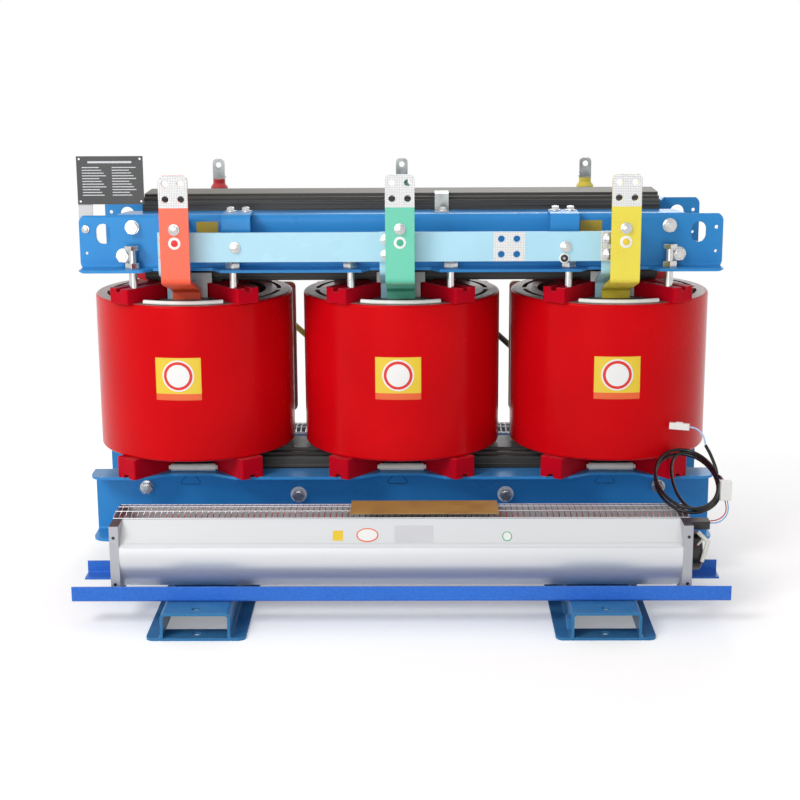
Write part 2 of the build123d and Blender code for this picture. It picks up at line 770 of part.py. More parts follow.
def outlet_boards() -> Part:
    """Insulating boards between the bar tails and the core, standing on the winding."""
    collar = COIL_TOP + UPPER_BLOCK_HEIGHT
    with BuildPart() as boards:
        for x in COIL_X:
            with BuildSketch(Plane(origin=(x, -(BOARD_Y - BOARD / 2), 0), x_dir=(1, 0, 0), z_dir=(0, -1, 0))):
                with Locations((0, (COIL_TOP + BOARD_TOP) / 2)):
                    Rectangle(BOARD_NECK, BOARD_TOP - COIL_TOP)
                with Locations((0, (collar + BOARD_TOP) / 2)):
                    Rectangle(BOARD_WIDTH, BOARD_TOP - collar)
            extrude(amount=BOARD)
    return boards.part


def bobbin(x: float, z: float, back: float, face: float, radius: float) -> Part:
    """A waisted insulator from its seat at -back out to -face."""
    length = face - back
    profile = (
        (0, 0),
        (radius, 0),
        (radius, POST_RIB),
        (radius - POST_WAIST, length / 2),
        (radius, length - POST_RIB),
        (radius, length),
        (0, length),
    )
    with BuildPart() as post:
        with BuildSketch(Plane(origin=(x, -back, z), x_dir=(1, 0, 0), z_dir=(0, 0, -1))):
            with BuildLine():
                Polyline(*profile, close=True)
            make_face()
        revolve(axis=Axis((x, -back, z), (0, 1, 0)))
    return post.part


def bus_insulators() -> Part:
    """Insulators behind the three terminal bars and behind the neutral bar."""
    bar_back = BAR_FACE - BAR
    neutral_back = NEUTRAL_FACE - NEUTRAL
    bracket = UPPER_FLANGE_REACH + PLATE
    bobbins = [bobbin(x, BAR_BOLT_Z, UPPER_CLAMP_FACE, bar_back, BAR_POST_R) for x in COIL_X]
    bobbins += [bobbin(side * BRACKET_X, NEUTRAL_Z, bracket, neutral_back, NEUTRAL_POST_R) for side in (-1, 1)]
    with BuildPart() as posts:
        add(bobbins)
    return posts.part


def insulator_brackets() -> Part:
    """Folded plates bolted on the top flange that carry the neutral bar."""
    top = UPPER_CLAMP_Z + UPPER_CLAMP_HEIGHT
    with BuildPart() as brackets:
        for x in (-BRACKET_X, BRACKET_X):
            y = -(UPPER_FLANGE_REACH + PLATE / 2)
            route = ((-(UPPER_FLANGE_REACH - BRACKET_LAP), top + PLATE / 2), (y, top + PLATE / 2))
            with BuildSketch(Plane.YZ.offset(x)):
                with BuildLine():
                    FilletPolyline(*route, (y, top - BRACKET_DROP), radius=CLAMP_BEND)
                trace(line_width=PLATE)
            extrude(amount=BRACKET_WIDTH / 2, both=True)
            with BuildSketch(Plane.XY.offset(top)):
                with Locations((x, -(UPPER_CLAMP_FACE - PLATE))):
                    with GridLocations(BRACKET_BOLT_SPACING, 0, 2, 1):
                        Circle(BRACKET_BOLT_R)
            extrude(amount=PLATE, mode=Mode.SUBTRACT)
    return brackets.part


# High-voltage side
def terminal_panels() -> Part:
    """Resin panels on the bosses, slotted for the tap studs."""
    with BuildPart() as panels:
        for x in COIL_X:
            with BuildSketch(Plane(origin=(x, BOSS_REACH, 0), x_dir=(-1, 0, 0), z_dir=(0, 1, 0))):
                with Locations((0, (PANEL_Z[0] + PANEL_Z[1]) / 2)):
                    RectangleRounded(2 * PANEL_HALF, PANEL_Z[1] - PANEL_Z[0], PANEL_CORNER)
            extrude(amount=PANEL)
    return panels.part


def tap_studs() -> Part:
    """Two columns of tap studs on each panel and the link across one pair."""
    face = BOSS_REACH + PANEL
    with BuildPart() as taps:
        for x in COIL_X:
            plane = Plane(origin=(x, face, 0), x_dir=(-1, 0, 0), z_dir=(0, 1, 0))
            for z in TAP_ROWS:
                with BuildSketch(plane):
                    with Locations((TAP_X, z), (-TAP_X, z)):
                        RegularPolygon(TAP_R, 6, major_radius=False)
                extrude(amount=TAP_REACH)
            with BuildSketch(plane.offset(TAP_REACH)):
                with Locations((0, TAP_ROWS[1])):
                    SlotCenterToCenter(2 * TAP_X, 2 * TAP_R)
            extrude(amount=TAP_LINK)
    return taps.part


def hv_seats() -> Part:
    """Plates on the rear clamp flange that carry the high-voltage post insulators."""
    width, depth = HV_SEAT_SIZE
    with BuildPart() as seats:
        with BuildSketch(Plane.XY.offset(UPPER_CLAMP_Z + PLATE)):
            for x in HV_POST_X:
                with Locations((x, UPPER_CLAMP_FACE + CLAMP_BEND + depth / 2)):
                    RectangleRounded(width, depth, UPPER_FLANGE_CORNER)
        extrude(amount=HV_SEAT)
    return seats.part


def hv_insulators() -> Part:
    """Shedded post insulators on the rear clamp."""
    base = UPPER_CLAMP_Z + PLATE + HV_SEAT
    pitch = (HV_POST_TOP - base) / (HV_POST_SHEDS + 1)
    with BuildPart() as posts:
        for x in HV_POST_X:
            with BuildSketch(Plane(origin=(x, HV_POST_Y, 0), x_dir=(1, 0, 0), z_dir=(0, -1, 0))):
                with BuildLine():
                    outline = [(0, base), (HV_POST_R, base)]
                    for shed in range(HV_POST_SHEDS + 1):
                        share = shed / HV_POST_SHEDS
                        rim = HV_POST_R + share * (HV_POST_TOP_R - HV_POST_R)
                        z = base + (shed + 0.35) * pitch
                        outline += [(rim, z), (rim - HV_EDGE, z + 0.3 * pitch)]
                    outline += [(HV_POST_TOP_R - HV_EDGE, HV_POST_TOP), (0, HV_POST_TOP)]
                    Polyline(*outline, close=True)
                make_face()
            revolve(axis=Axis((x, HV_POST_Y, 0), (0, 0, 1)))
    return posts.part


def hv_terminals() -> Part:
    """Angle tabs on top of the post insulators, one hole each."""
    with BuildPart() as tabs:
        for x in HV_POST_X:
            y = HV_POST_Y - TAB / 2
            foot_y = HV_POST_Y + TAB_WIDTH
            with BuildSketch(Plane.YZ.offset(x)):
                with BuildLine():
                    Polyline((foot_y, HV_POST_TOP + TAB / 2), (y, HV_POST_TOP + TAB / 2), (y, TAB_TOP))
                trace(line_width=TAB)
            extrude(amount=TAB_WIDTH / 2, both=True)
            with BuildSketch(Plane(origin=(x, HV_POST_Y, 0), x_dir=(1, 0, 0), z_dir=(0, -1, 0))):
                with Locations((0, TAB_TOP - TAB_WIDTH / 2)):
                    Circle(TAB_HOLE_R)
            extrude(amount=TAB_WIDTH, both=True, mode=Mode.SUBTRACT)
        fillet(tabs.edges().filter_by(Axis.Y).group_by(Axis.Z)[-1], radius=TAB_WIDTH / 3)
    return tabs.part


def delta_rod(start: tuple, end: tuple) -> Part:
    """A sleeved rod off one panel, across the gap and onto the next; ends as (x, z)."""
    stand = BOSS_REACH + PANEL
    y = stand + 4 * ROD_R
    points = ((start[0], stand, start[1]), (start[0], y, start[1]), (end[0], y, end[1]), (end[0], stand, end[1]))
    with BuildPart() as rod:
        with BuildLine() as path:
            FilletPolyline(*points, radius=2 * ROD_R)
        with BuildSketch(Plane(origin=path.wire() @ 0, z_dir=path.wire() % 0)):
            Circle(ROD_R)
        sweep(path=path.wire())
    return rod.part


def hv_links() -> Part:
    """Diagonal rods that join each winding's upper end to its neighbour's lower end."""
    pairs = zip(COIL_X[:-1], COIL_X[1:])
    rods = [delta_rod((a + ROD_STUD_X, ROD_TOP_Z), (b - ROD_STUD_X, ROD_LOW_Z)) for a, b in pairs]
    with BuildPart() as links:
        add(rods)
    return links.part


# Nameplate and earthing strap
def nameplate_arm() -> Part:
    """Flat arm behind the front clamp's end that carries the nameplate."""
    x = -CLAMP_LENGTH / 2 + ARM_WIDTH / 2
    plate_bottom = PLATE_TOP - PLATE_HEIGHT
    with BuildPart() as arm:
        with BuildSketch(Plane.XZ.offset(UPPER_CLAMP_FACE - PLATE - ARM)):
            with Locations((x, (ARM_BOTTOM + plate_bottom + ARM_LAP) / 2)):
                Rectangle(ARM_WIDTH, plate_bottom + ARM_LAP - ARM_BOTTOM)
        extrude(amount=ARM)
    return arm.part


def nameplate() -> Part:
    """Blank plate standing on its arm above the clamp."""
    with BuildPart() as plate:
        with BuildSketch(Plane.XZ.offset(UPPER_CLAMP_FACE - PLATE)):
            with Locations((-CLAMP_LENGTH / 2 + PLATE_WIDTH / 2, PLATE_TOP - PLATE_HEIGHT / 2)):
                Rectangle(PLATE_WIDTH, PLATE_HEIGHT)
        extrude(amount=PLATE_SHEET)
    return plate.part


def earth_strap() -> Part:
    """Thin strap from the front clamp's top flange over the upper yoke."""
    flange = UPPER_CLAMP_Z + UPPER_CLAMP_HEIGHT + STRAP / 2
    crown = UPPER_YOKE_Z + YOKE_HEIGHT / 2 + STRAP / 2
    face = -(STACK_HALF + STRAP)
    with BuildPart() as strap:
        with BuildSketch(Plane.YZ.offset(STRAP_X)):
            with BuildLine():
                Polyline((face - STRAP_LAP, flange), (face, flange), (face, crown), (-PACKETS[0][2], crown))
            trace(line_width=STRAP)
        extrude(amount=STRAP_WIDTH / 2, both=True)
    return strap.part


# Rails
def outer_rail() -> Part:
    """Front angle bar across the feet, upright leg outermost."""
    face = -(OUTER_RAIL_FACE - RAIL / 2)
    low = FOOT_HEIGHT + RAIL / 2
    with BuildPart() as rail:
        with BuildSketch(Plane.YZ):
            with BuildLine():
                points = [(face, FOOT_HEIGHT + RAIL_HEIGHT), (face, low), (face + RAIL_LEG - RAIL / 2, low)]
                FilletPolyline(*points, radius=RAIL_BEND)
            trace(line_width=RAIL)
        extrude(amount=RAIL_HALF, both=True)
    return rail.part


def inner_rail() -> Part:
    """Angle bar under the fan's back edge, upright leg towards the core."""
    back = -(INNER_RAIL_BACK + RAIL / 2)
    low = FOOT_HEIGHT + RAIL / 2
    with BuildPart() as rail:
        with BuildSketch(Plane.YZ):
            with BuildLine():
                points = [(back, FOOT_HEIGHT + INNER_RAIL_HEIGHT), (back, low), (back - RAIL_LEG + RAIL / 2, low)]
                FilletPolyline(*points, radius=RAIL_BEND)
            trace(line_width=RAIL)
        extrude(amount=RAIL_HALF, both=True)
    return rail.part


# Cross-flow fan
def fan_ends() -> Part:
    """Square end frames folded outwards, seated on the two rails."""
    seat = FOOT_HEIGHT + RAIL
    middle_y = -(FAN_FRONT + FAN_BACK) / 2
    middle_z = (seat + FAN_TOP) / 2
    depth = FAN_FRONT - FAN_BACK
    height = FAN_TOP - seat
    inside = FAN_HALF - FAN_END_DEPTH
    with BuildPart() as ends:
        for side in (-1, 1):
            sheet = Plane(origin=(side * inside, middle_y, middle_z), x_dir=(0, 1, 0), z_dir=(side, 0, 0))
            with BuildSketch(sheet):
                Rectangle(depth, height)
            extrude(amount=FAN_END_DEPTH)
            with BuildSketch(sheet.offset(FAN_SHEET)):
                Rectangle(depth - 2 * FAN_SHEET, height - 2 * FAN_SHEET)
            extrude(amount=FAN_END_DEPTH, mode=Mode.SUBTRACT)
        with BuildSketch(Plane.YZ):
            with Locations((-ROTOR_Y, ROTOR_Z)):
                Circle(SHAFT_R + SHAFT_CLEARANCE)
        extrude(amount=FAN_HALF, both=True, mode=Mode.SUBTRACT)
    return ends.part


def fan_casing() -> Part:
    """Rolled front skin from the lip round to the throat, and the short back tongue."""
    half = SKIN / 2
    lip_z = FAN_TOP - SKIN / 2
    with BuildPart() as casing:
        with BuildSketch(Plane.YZ):
            with BuildLine():
                Line((-LIP_Y, lip_z), (-(SEAM_Y - half), SEAM_Z))
                ThreePointArc((-(SEAM_Y - half), SEAM_Z), (-BELLY_Y, BELLY_Z), (-CHIN_Y, CHIN_Z))
                Line((-CHIN_Y, CHIN_Z), (-THROAT_Y, CHIN_Z))
            trace(line_width=SKIN)
            with BuildLine():
                Polyline((-(FAN_BACK + half), TONGUE_Z), (-(FAN_BACK + half), lip_z))
            trace(line_width=SKIN)
        extrude(amount=FAN_HALF - FAN_END_DEPTH, both=True)
    return casing.part


def fan_rotor() -> Part:
    """Cross-flow rotor: curved, leaning blades round a shaft, tied by discs."""
    chord = BLADE_DEPTH - BLADE
    rim = ROTOR_R - BLADE_DEPTH / 2
    gap = 2 * ROTOR_HALF / (DISCS - 1)
    with BuildPart() as rotor:
        with BuildSketch(Plane.YZ.offset(-ROTOR_HALF)):
            with BuildLine(mode=Mode.PRIVATE) as bow:
                ThreePointArc((-chord / 2, 0), (0, BLADE_BOW), (chord / 2, 0))
            with Locations((-ROTOR_Y, ROTOR_Z)):
                with PolarLocations(rim, BLADES):
                    SlotArc(bow.edge(), BLADE, rotation=BLADE_LEAN)
        extrude(amount=2 * ROTOR_HALF)
        for disc in range(DISCS):
            start = -ROTOR_HALF + disc * (gap - DISC / (DISCS - 1))
            with BuildSketch(Plane.YZ.offset(start)):
                with Locations((-ROTOR_Y, ROTOR_Z)):
                    Circle(ROTOR_R)
            extrude(amount=DISC)
        with BuildSketch(Plane.YZ.offset(-SHAFT_REACH)):
            with Locations((-ROTOR_Y, ROTOR_Z)):
                Circle(SHAFT_R)
        extrude(amount=2 * SHAFT_REACH)
    return rotor.part


def fan_motor() -> Part:
    """Motor and terminal block in the right end frame, bearing cap in the left one."""
    seat = FAN_HALF - FAN_END_DEPTH + FAN_SHEET
    with BuildPart() as motor:
        for side, radius, length in ((1, MOTOR_R, MOTOR_LENGTH), (-1, BEARING_R, BEARING_LENGTH)):
            sheet = Plane(origin=(side * seat, -ROTOR_Y, ROTOR_Z), x_dir=(0, 1, 0), z_dir=(side, 0, 0))
            with BuildSketch(sheet):
                Circle(radius)
            extrude(amount=length)
        fillet(motor.edges().filter_by(GeomType.CIRCLE).group_by(Axis.X)[-1], radius=HV_EDGE)
        fillet(motor.edges().filter_by(GeomType.CIRCLE).group_by(Axis.X)[0], radius=HV_EDGE)
        with BuildSketch(Plane.YZ.offset(-SHAFT_REACH)):
            with Locations((-ROTOR_Y, ROTOR_Z)):
                Circle(SHAFT_R + SHAFT_CLEARANCE)
        extrude(amount=2 * SHAFT_REACH, mode=Mode.SUBTRACT)
        length, width, height = MOTOR_BLOCK
        with BuildSketch(Plane.YZ.offset(seat)):
            with Locations((-MOTOR_BLOCK_Y, MOTOR_BLOCK_TOP - height / 2)):
                Rectangle(width, height)
        extrude(amount=length)
    return motor.part


def fan_guard() -> Part:
    """Grille over the outlet: long wires joined by cross wires."""
    half = FAN_HALF
    front, back = LIP_Y + SKIN, FAN_BACK
    spans = round(2 * half / GUARD_PITCH)
    with BuildPart() as guard:
        with BuildSketch(Plane.XY.offset(FAN_TOP)):
            for rail in range(GUARD_RAILS):
                y = -(back + GUARD / 2 + rail * (front - back - GUARD) / (GUARD_RAILS - 1))
                with Locations((0, y)):
                    Rectangle(2 * half, GUARD)
            for wire in range(spans + 1):
                x = -half + GUARD / 2 + wire * (2 * half - GUARD) / spans
                with Locations((x, -(front + back) / 2)):
                    Rectangle(GUARD, front - back)
        extrude(amount=GUARD)
    return guard.part


# White tubes
def rim_tube(x: float) -> Part:
    """One curved tube lying on the front rim of a winding."""
    z = COIL_TOP + TUBE_CLEARANCE + RIM_TUBE_R
    with BuildPart() as tube:
        with BuildLine(Plane(origin=(x, 0, z))) as path:
            CenterArc((0, 0), RIM_TUBE_RADIUS, -90 - RIM_TUBE_SPAN / 2, RIM_TUBE_SPAN)
        with BuildSketch(Plane(origin=path.edge() @ 0, z_dir=path.edge() % 0)):
            Circle(RIM_TUBE_R)
        sweep(path=path.edge())
    return tube.part


def block_tube(x: float) -> Part:
    """One straight tube with its end caps, lying on the lower clamp between two blocks."""
    z = LOWER_CLAMP_Z + LOWER_CLAMP_HEIGHT + TUBE_CLEARANCE + BLOCK_TUBE_R
    half = BLOCK_TUBE_LENGTH / 2
    with BuildPart() as tube:
        for radius, reach in ((BLOCK_TUBE_R, half), (BLOCK_TUBE_CAP_R, half + BLOCK_TUBE_CAP)):
            with BuildSketch(Plane.YZ.offset(x)):
                with Locations((-BLOCK_TUBE_Y, z)):
                    Circle(radius)
            extrude(amount=reach, both=True)
    return tube.part


def spacer_tubes() -> Part:
    """The white tubes of all three windings."""
    tubes = [make(x) for x in COIL_X for make in (rim_tube, block_tube)]
    with BuildPart() as spacers:
        add(tubes)
    return spacers.part


# Fan lead
def bend_radii(route: tuple) -> list:
    """Largest bend radius that fits at each inner point of a cord's route."""
    radii = []
    for start, corner, end in zip(route, route[1:], route[2:]):
        arriving = Vector(*corner) - Vector(*start)
        leaving = Vector(*end) - Vector(*corner)
        half_turn = radians(arriving.get_angle(leaving) / 2)
        radii.append(CORD_BEND * min(arriving.length, leaving.length) / tan(half_turn))
    return radii


def cord(name: str, route: tuple, radius: float) -> Part:
    """A round cord along its route; its bend radii are printed."""
    radii = bend_radii(route)
    print(name, "radii", [round(bend, 1) for bend in radii])
    with BuildPart() as tube:
        with BuildLine() as path:
            FilletPolyline(*route, radius=radii)
        line = path.wire()
        with BuildSketch(Plane(origin=line @ 0, z_dir=line % 0)):
            Circle(radius)
        sweep(path=line)
    return tube.part


def lead_loops() -> Part:
    """The loose turns as one oval ring, standing on the fan and leaning on a block."""
    low, high = Vector(*LOOP_FOOT), Vector(*LOOP_HEAD)
    lean = high - low
    oval = Plane(origin=(low + high) / 2, x_dir=(1, 0, 0), z_dir=Vector(1, 0, 0).cross(lean))
    end = lean.length / 2 - LOOP_END_R
    side_r = (end**2 + LOOP_HALF_WIDTH**2 - LOOP_END_R**2) / (2 * (LOOP_HALF_WIDTH - LOOP_END_R))
    offset = side_r - LOOP_HALF_WIDTH
    half_angle = degrees(atan2(end, offset))
    with BuildPart() as loops:
        with BuildLine(oval) as path:
            CenterArc((-offset, 0), side_r, -half_angle, 2 * half_angle)
            CenterArc((0, end), LOOP_END_R, half_angle, 180 - 2 * half_angle)
            CenterArc((offset, 0), side_r, 180 - half_angle, 2 * half_angle)
            CenterArc((0, -end), LOOP_END_R, 180 + half_angle, 180 - 2 * half_angle)
        ring = path.wire()
        with BuildSketch(Plane(origin=ring @ 0, x_dir=oval.z_dir, z_dir=ring % 0)):
            SlotOverall(*LOOP_SECTION)
        sweep(path=ring)
    return loops.part


def lead_box() -> Part:
    """Small housing between the fan's two wires and the cable."""
    with BuildPart() as box:
        with Locations(BOX_PLACE):
            Box(*BOX_SIZE)
        fillet(box.edges(), radius=BOX_EDGE)
    return box.part


def lead_plug() -> Part:
    """Connector housing at the end of the cores, with its latch on top."""
    tail, tip = Vector(*PLUG_TAIL), Vector(*PLUG_TIP)
    length = (tip - tail).length
    height, _ = PLUG_SECTION
    latch_width, latch_height, latch_length = PLUG_LATCH
    seat = Plane(origin=tail, x_dir=(0, 0, 1), z_dir=tip - tail)
    with BuildPart() as plug:
        with BuildSketch(seat):
            RectangleRounded(*PLUG_SECTION, PLUG_EDGE)
        extrude(amount=length)
        with BuildSketch(seat.offset((length - latch_length) / 2)):
            with Locations((height / 2, 0)):
                Rectangle(2 * latch_height, latch_width)
        extrude(amount=latch_length)
    return plug.part


NODES = {
    "foot_left": foot(-1),
    "foot_right": foot(1),
    "foot_risers": riser_pads(),
    "core_pads": core_pads(),
    "core_lower_yoke": yoke(LOWER_YOKE_Z, bolted=True),
    "core_upper_yoke": yoke(UPPER_YOKE_Z, bolted=False),
    "core_legs": core_legs(),
    "tie_bolts": tie_bolts(),
    "pressure_screws": pressure_screws(),
    "lv_coils": lv_coils(),
    "upper_blocks": support_blocks(COIL_TOP, UPPER_BLOCK_HEIGHT, COIL_TOP + UPPER_BLOCK_HEIGHT - GROOVE_DEPTH),
    "lower_blocks": support_blocks(
        LOWER_CLAMP_Z + LOWER_CLAMP_HEIGHT,
        COIL_BOTTOM - LOWER_CLAMP_Z - LOWER_CLAMP_HEIGHT,
        LOWER_CLAMP_Z + LOWER_CLAMP_HEIGHT,
    ),
    "neutral_bar": neutral_bar(),
    "neutral_risers": neutral_risers(),
    "outlet_boards": outlet_boards(),
    "bus_insulators": bus_insulators(),
    "insulator_brackets": insulator_brackets(),
    "terminal_panels": terminal_panels(),
    "tap_studs": tap_studs(),
    "hv_seats": hv_seats(),
    "hv_insulators": hv_insulators(),
    "hv_terminals": hv_terminals(),
    "hv_links": hv_links(),
    "nameplate_arm": nameplate_arm(),
    "nameplate": nameplate(),
    "earth_strap": earth_strap(),
    "spacer_tubes": spacer_tubes(),
    "lead_loops": lead_loops(),
    "lead_inlet": cord("lead_inlet", INLET_ROUTE, LEAD_R),
    "lead_tail": cord("lead_tail", TAIL_ROUTE, LEAD_R),
    "lead_cores": cord("lead_cores", CORES_ROUTE, CORES_R),
    "lead_blue_wire": cord("lead_blue_wire", BLUE_ROUTE, WIRE_R),
    "lead_red_wire": cord("lead_red_wire", RED_ROUTE, WIRE_R),
    "lead_box": lead_box(),
    "lead_plug": lead_plug(),
}
for phase, coil_x in zip(PHASES, COIL_X):
    NODES[f"hv_coil_{phase}"] = hv_coil(coil_x)
    NODES[f"lv_bar_{phase}"] = lv_bar(coil_x)

for node, solid in NODES.items():
    save(node, solid)
save_mirrored(lower_clamp(), "clamp_lower")
save_mirrored(upper_clamp(), "clamp_upper")
save_mirrored(outer_rail(), "rail", "_outer")
save_mirrored(inner_rail(), "rail", "_inner")
save_mirrored(fan_ends(), "fan", "_ends")
save_mirrored(fan_casing(), "fan", "_casing")
save_mirrored(fan_rotor(), "fan", "_rotor")
save_mirrored(fan_motor(), "fan", "_motor")
save_mirrored(fan_guard(), "fan", "_guard")
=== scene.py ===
"""Looks of a three-phase cast-resin power transformer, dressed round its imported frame.

Lengths are in metres, in the frame's own axes: X along the yokes, Y away from the
low-voltage terminals, Z up, with the floor at zero.
"""

import logging
import math
from dataclasses import dataclass
from enum import Enum

import bmesh
import bpy
from mathutils import Matrix, Vector

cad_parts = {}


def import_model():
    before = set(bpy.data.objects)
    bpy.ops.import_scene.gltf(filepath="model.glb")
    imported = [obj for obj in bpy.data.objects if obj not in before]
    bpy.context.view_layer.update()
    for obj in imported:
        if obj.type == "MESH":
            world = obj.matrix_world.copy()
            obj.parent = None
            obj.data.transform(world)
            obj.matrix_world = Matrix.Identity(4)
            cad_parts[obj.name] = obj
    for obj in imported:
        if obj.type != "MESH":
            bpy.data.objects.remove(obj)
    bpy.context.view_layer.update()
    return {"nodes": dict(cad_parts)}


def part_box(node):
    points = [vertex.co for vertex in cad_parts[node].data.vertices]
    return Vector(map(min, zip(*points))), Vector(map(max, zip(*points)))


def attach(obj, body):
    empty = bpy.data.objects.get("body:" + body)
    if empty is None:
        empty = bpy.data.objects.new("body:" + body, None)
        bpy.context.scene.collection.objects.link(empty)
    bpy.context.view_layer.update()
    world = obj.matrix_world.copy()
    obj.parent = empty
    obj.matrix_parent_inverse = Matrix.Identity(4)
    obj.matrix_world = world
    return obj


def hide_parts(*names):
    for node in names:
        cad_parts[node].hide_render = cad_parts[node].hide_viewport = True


LOG = logging.getLogger("transformer")

Colour = tuple[float, float, float]
Point = tuple[float, float, float]
Pair = tuple[float, float]
Route = tuple[Point, ...]

BODY = "root"
COIL_X = {"c": -0.460, "b": 0.0, "a": 0.460}
FRONT = -1.0
REAR = 1.0
DUST_COLOUR = (0.62, 0.60, 0.56)
DUST_ROUGHNESS = 0.9
COAT_ROUGHNESS = 0.08
HEX = 6


class Axis(Enum):
    """Directions that a fastener, disc or panel can face."""

    FRONT = (0.0, -1.0, 0.0)
    UP = (0.0, 0.0, 1.0)


def put_in_scene(name: str, data: bpy.types.ID) -> bpy.types.Object:
    """Make an object at the origin and link it to the scene.

    Args:
        name: The object's name.
        data: Its mesh, curve, camera or lamp.

    Returns:
        The new object.
    """
    made = bpy.data.objects.new(name, data)
    bpy.context.scene.collection.objects.link(made)
    return made


def bow_radius(half: float, rise: float) -> float:
    """Return the radius of an arc from half its chord and its rise."""
    return (half * half + rise * rise) / (2 * rise)


# Node trees


class Sheet:
    """One node tree, with short ways to add nodes and join them."""

    def __init__(self, tree: bpy.types.NodeTree) -> None:
        """Take hold of a tree.

        Args:
            tree: The material's or group's node tree.
        """
        self.tree = tree

    @classmethod
    def blank(cls, owner: bpy.types.ID) -> "Sheet":
        """Empty the node tree of a material or world, and return its sheet."""
        owner.use_nodes = True
        owner.node_tree.nodes.clear()
        return cls(owner.node_tree)

    def add(self, kind: str, inputs: dict | None = None, **settings) -> bpy.types.Node:
        """Add a node, set its own settings and fill its sockets.

        Args:
            kind: Blender's name for the node type.
            inputs: Values or sockets by socket name or index.
            settings: Attributes of the node itself.

        Returns:
            The new node.
        """
        node = self.tree.nodes.new(kind)
        for key, value in settings.items():
            setattr(node, key, value)
        for key, value in (inputs or {}).items():
            self.feed(node.inputs[key], value)
        return node

    def feed(self, socket: bpy.types.NodeSocket, value) -> None:
        """Link a socket to another, or set its value.

        Args:
            socket: The input to fill.
            value: An output socket, a number, a colour or a vector.
        """
        if isinstance(value, bpy.types.NodeSocket):
            self.tree.links.new(value, socket)
        elif socket.type == "RGBA" and len(value) == 3:
            socket.default_value = (*value, 1.0)
        else:
            socket.default_value = value

    def math(self, operation: str, a, b=0.0) -> bpy.types.NodeSocket:
        """Return one step of arithmetic.

        Args:
            operation: The Math node's operation.
            a: First value or socket.
            b: Second value or socket.

        Returns:
            The result's socket.
        """
        return self.add("ShaderNodeMath", {0: a, 1: b}, operation=operation).outputs[0]

    def times(self, a, b) -> bpy.types.NodeSocket:
        """Return the product of two values or sockets."""
        return self.math("MULTIPLY", a, b)

    def most(self, a, b) -> bpy.types.NodeSocket:
        """Return the larger of two values or sockets."""
        return self.math("MAXIMUM", a, b)

    def layers(self, value, pitch) -> bpy.types.NodeSocket:
        """Return a wave from 0 to 1 and back over two pitches."""
        return self.math("PINGPONG", self.math("DIVIDE", value, pitch), 1.0)

    def group(
        self, tree: bpy.types.NodeTree, **inputs: float
    ) -> bpy.types.bpy_prop_collection:
        """Use a shared node group.

        Args:
            tree: The group.
            inputs: Values by input name.

        Returns:
            The group's outputs, by name.
        """
        return self.add("ShaderNodeGroup", inputs, node_tree=tree).outputs

    def step(self, value, low: float, high: float) -> bpy.types.NodeSocket:
        """Return a ramp from 0 at low to 1 at high.

        Args:
            value: The socket to read.
            low: Value where the ramp starts.
            high: Value where the ramp ends.

        Returns:
            The ramp's socket.
        """
        inputs = {"Value": value, "From Min": low, "From Max": high}
        return self.add("ShaderNodeMapRange", inputs).outputs["Result"]

    def band(self, value, low: float, high: float, soft: float) -> bpy.types.NodeSocket:
        """Return 1 between low and high, and 0 outside.

        Args:
            value: The socket to read.
            low: Lower edge of the band.
            high: Upper edge of the band.
            soft: Width of each edge.

        Returns:
            The mask's socket.
        """
        rise = self.step(value, low - soft, low + soft)
        fall = self.step(value, high + soft, high - soft)
        return self.times(rise, fall)

    def mix(self, factor, a, b) -> bpy.types.NodeSocket:
        """Return colour a mixed towards colour b.

        Args:
            factor: Share of b.
            a: Colour or socket at factor 0.
            b: Colour or socket at factor 1.

        Returns:
            The mixed colour's socket.
        """
        return self.add("ShaderNodeMix", {0: factor, 6: a, 7: b}, data_type="RGBA").outputs[2]

    def blend(self, factor, a, b) -> bpy.types.NodeSocket:
        """Return number a mixed towards number b.

        Args:
            factor: Share of b.
            a: Value or socket at factor 0.
            b: Value or socket at factor 1.

        Returns:
            The mixed number's socket.
        """
        return self.add("ShaderNodeMix", {0: factor, 2: a, 3: b}, data_type="FLOAT").outputs[0]

    def place(self) -> bpy.types.NodeSocket:
        """Return the surface point in the object's own coordinates."""
        return self.add("ShaderNodeTexCoord").outputs["Object"]

    def reach(self, x, y) -> bpy.types.NodeSocket:
        """Return the distance of X and Y from the Z axis."""
        flat = self.add("ShaderNodeCombineXYZ", {0: x, 1: y}).outputs[0]
        return self.add("ShaderNodeVectorMath", {0: flat}, operation="LENGTH").outputs["Value"]

    def axes(self, vector: bpy.types.NodeSocket) -> tuple:
        """Return the X, Y and Z sockets of a vector."""
        return tuple(self.add("ShaderNodeSeparateXYZ", {0: vector}).outputs)

    def facing(self) -> tuple:
        """Return the X, Y and Z sockets of the unsmoothed surface normal."""
        return self.axes(self.add("ShaderNodeNewGeometry").outputs["True Normal"])

    def noise(
        self, vector, scale: float, detail: float, stretch: Point = (1, 1, 1)
    ) -> bpy.types.NodeSocket:
        """Return smooth noise, pulled out along the axes where stretch is small.

        Args:
            vector: Where to read the noise.
            scale: Features per metre.
            detail: Octaves.
            stretch: Scale factor along each axis.

        Returns:
            The noise value's socket.
        """
        pulled = self.add("ShaderNodeVectorMath", {0: vector, 1: stretch}, operation="MULTIPLY")
        inputs = {"Vector": pulled.outputs[0], "Scale": scale, "Detail": detail}
        return self.add("ShaderNodeTexNoise", inputs).outputs[0]


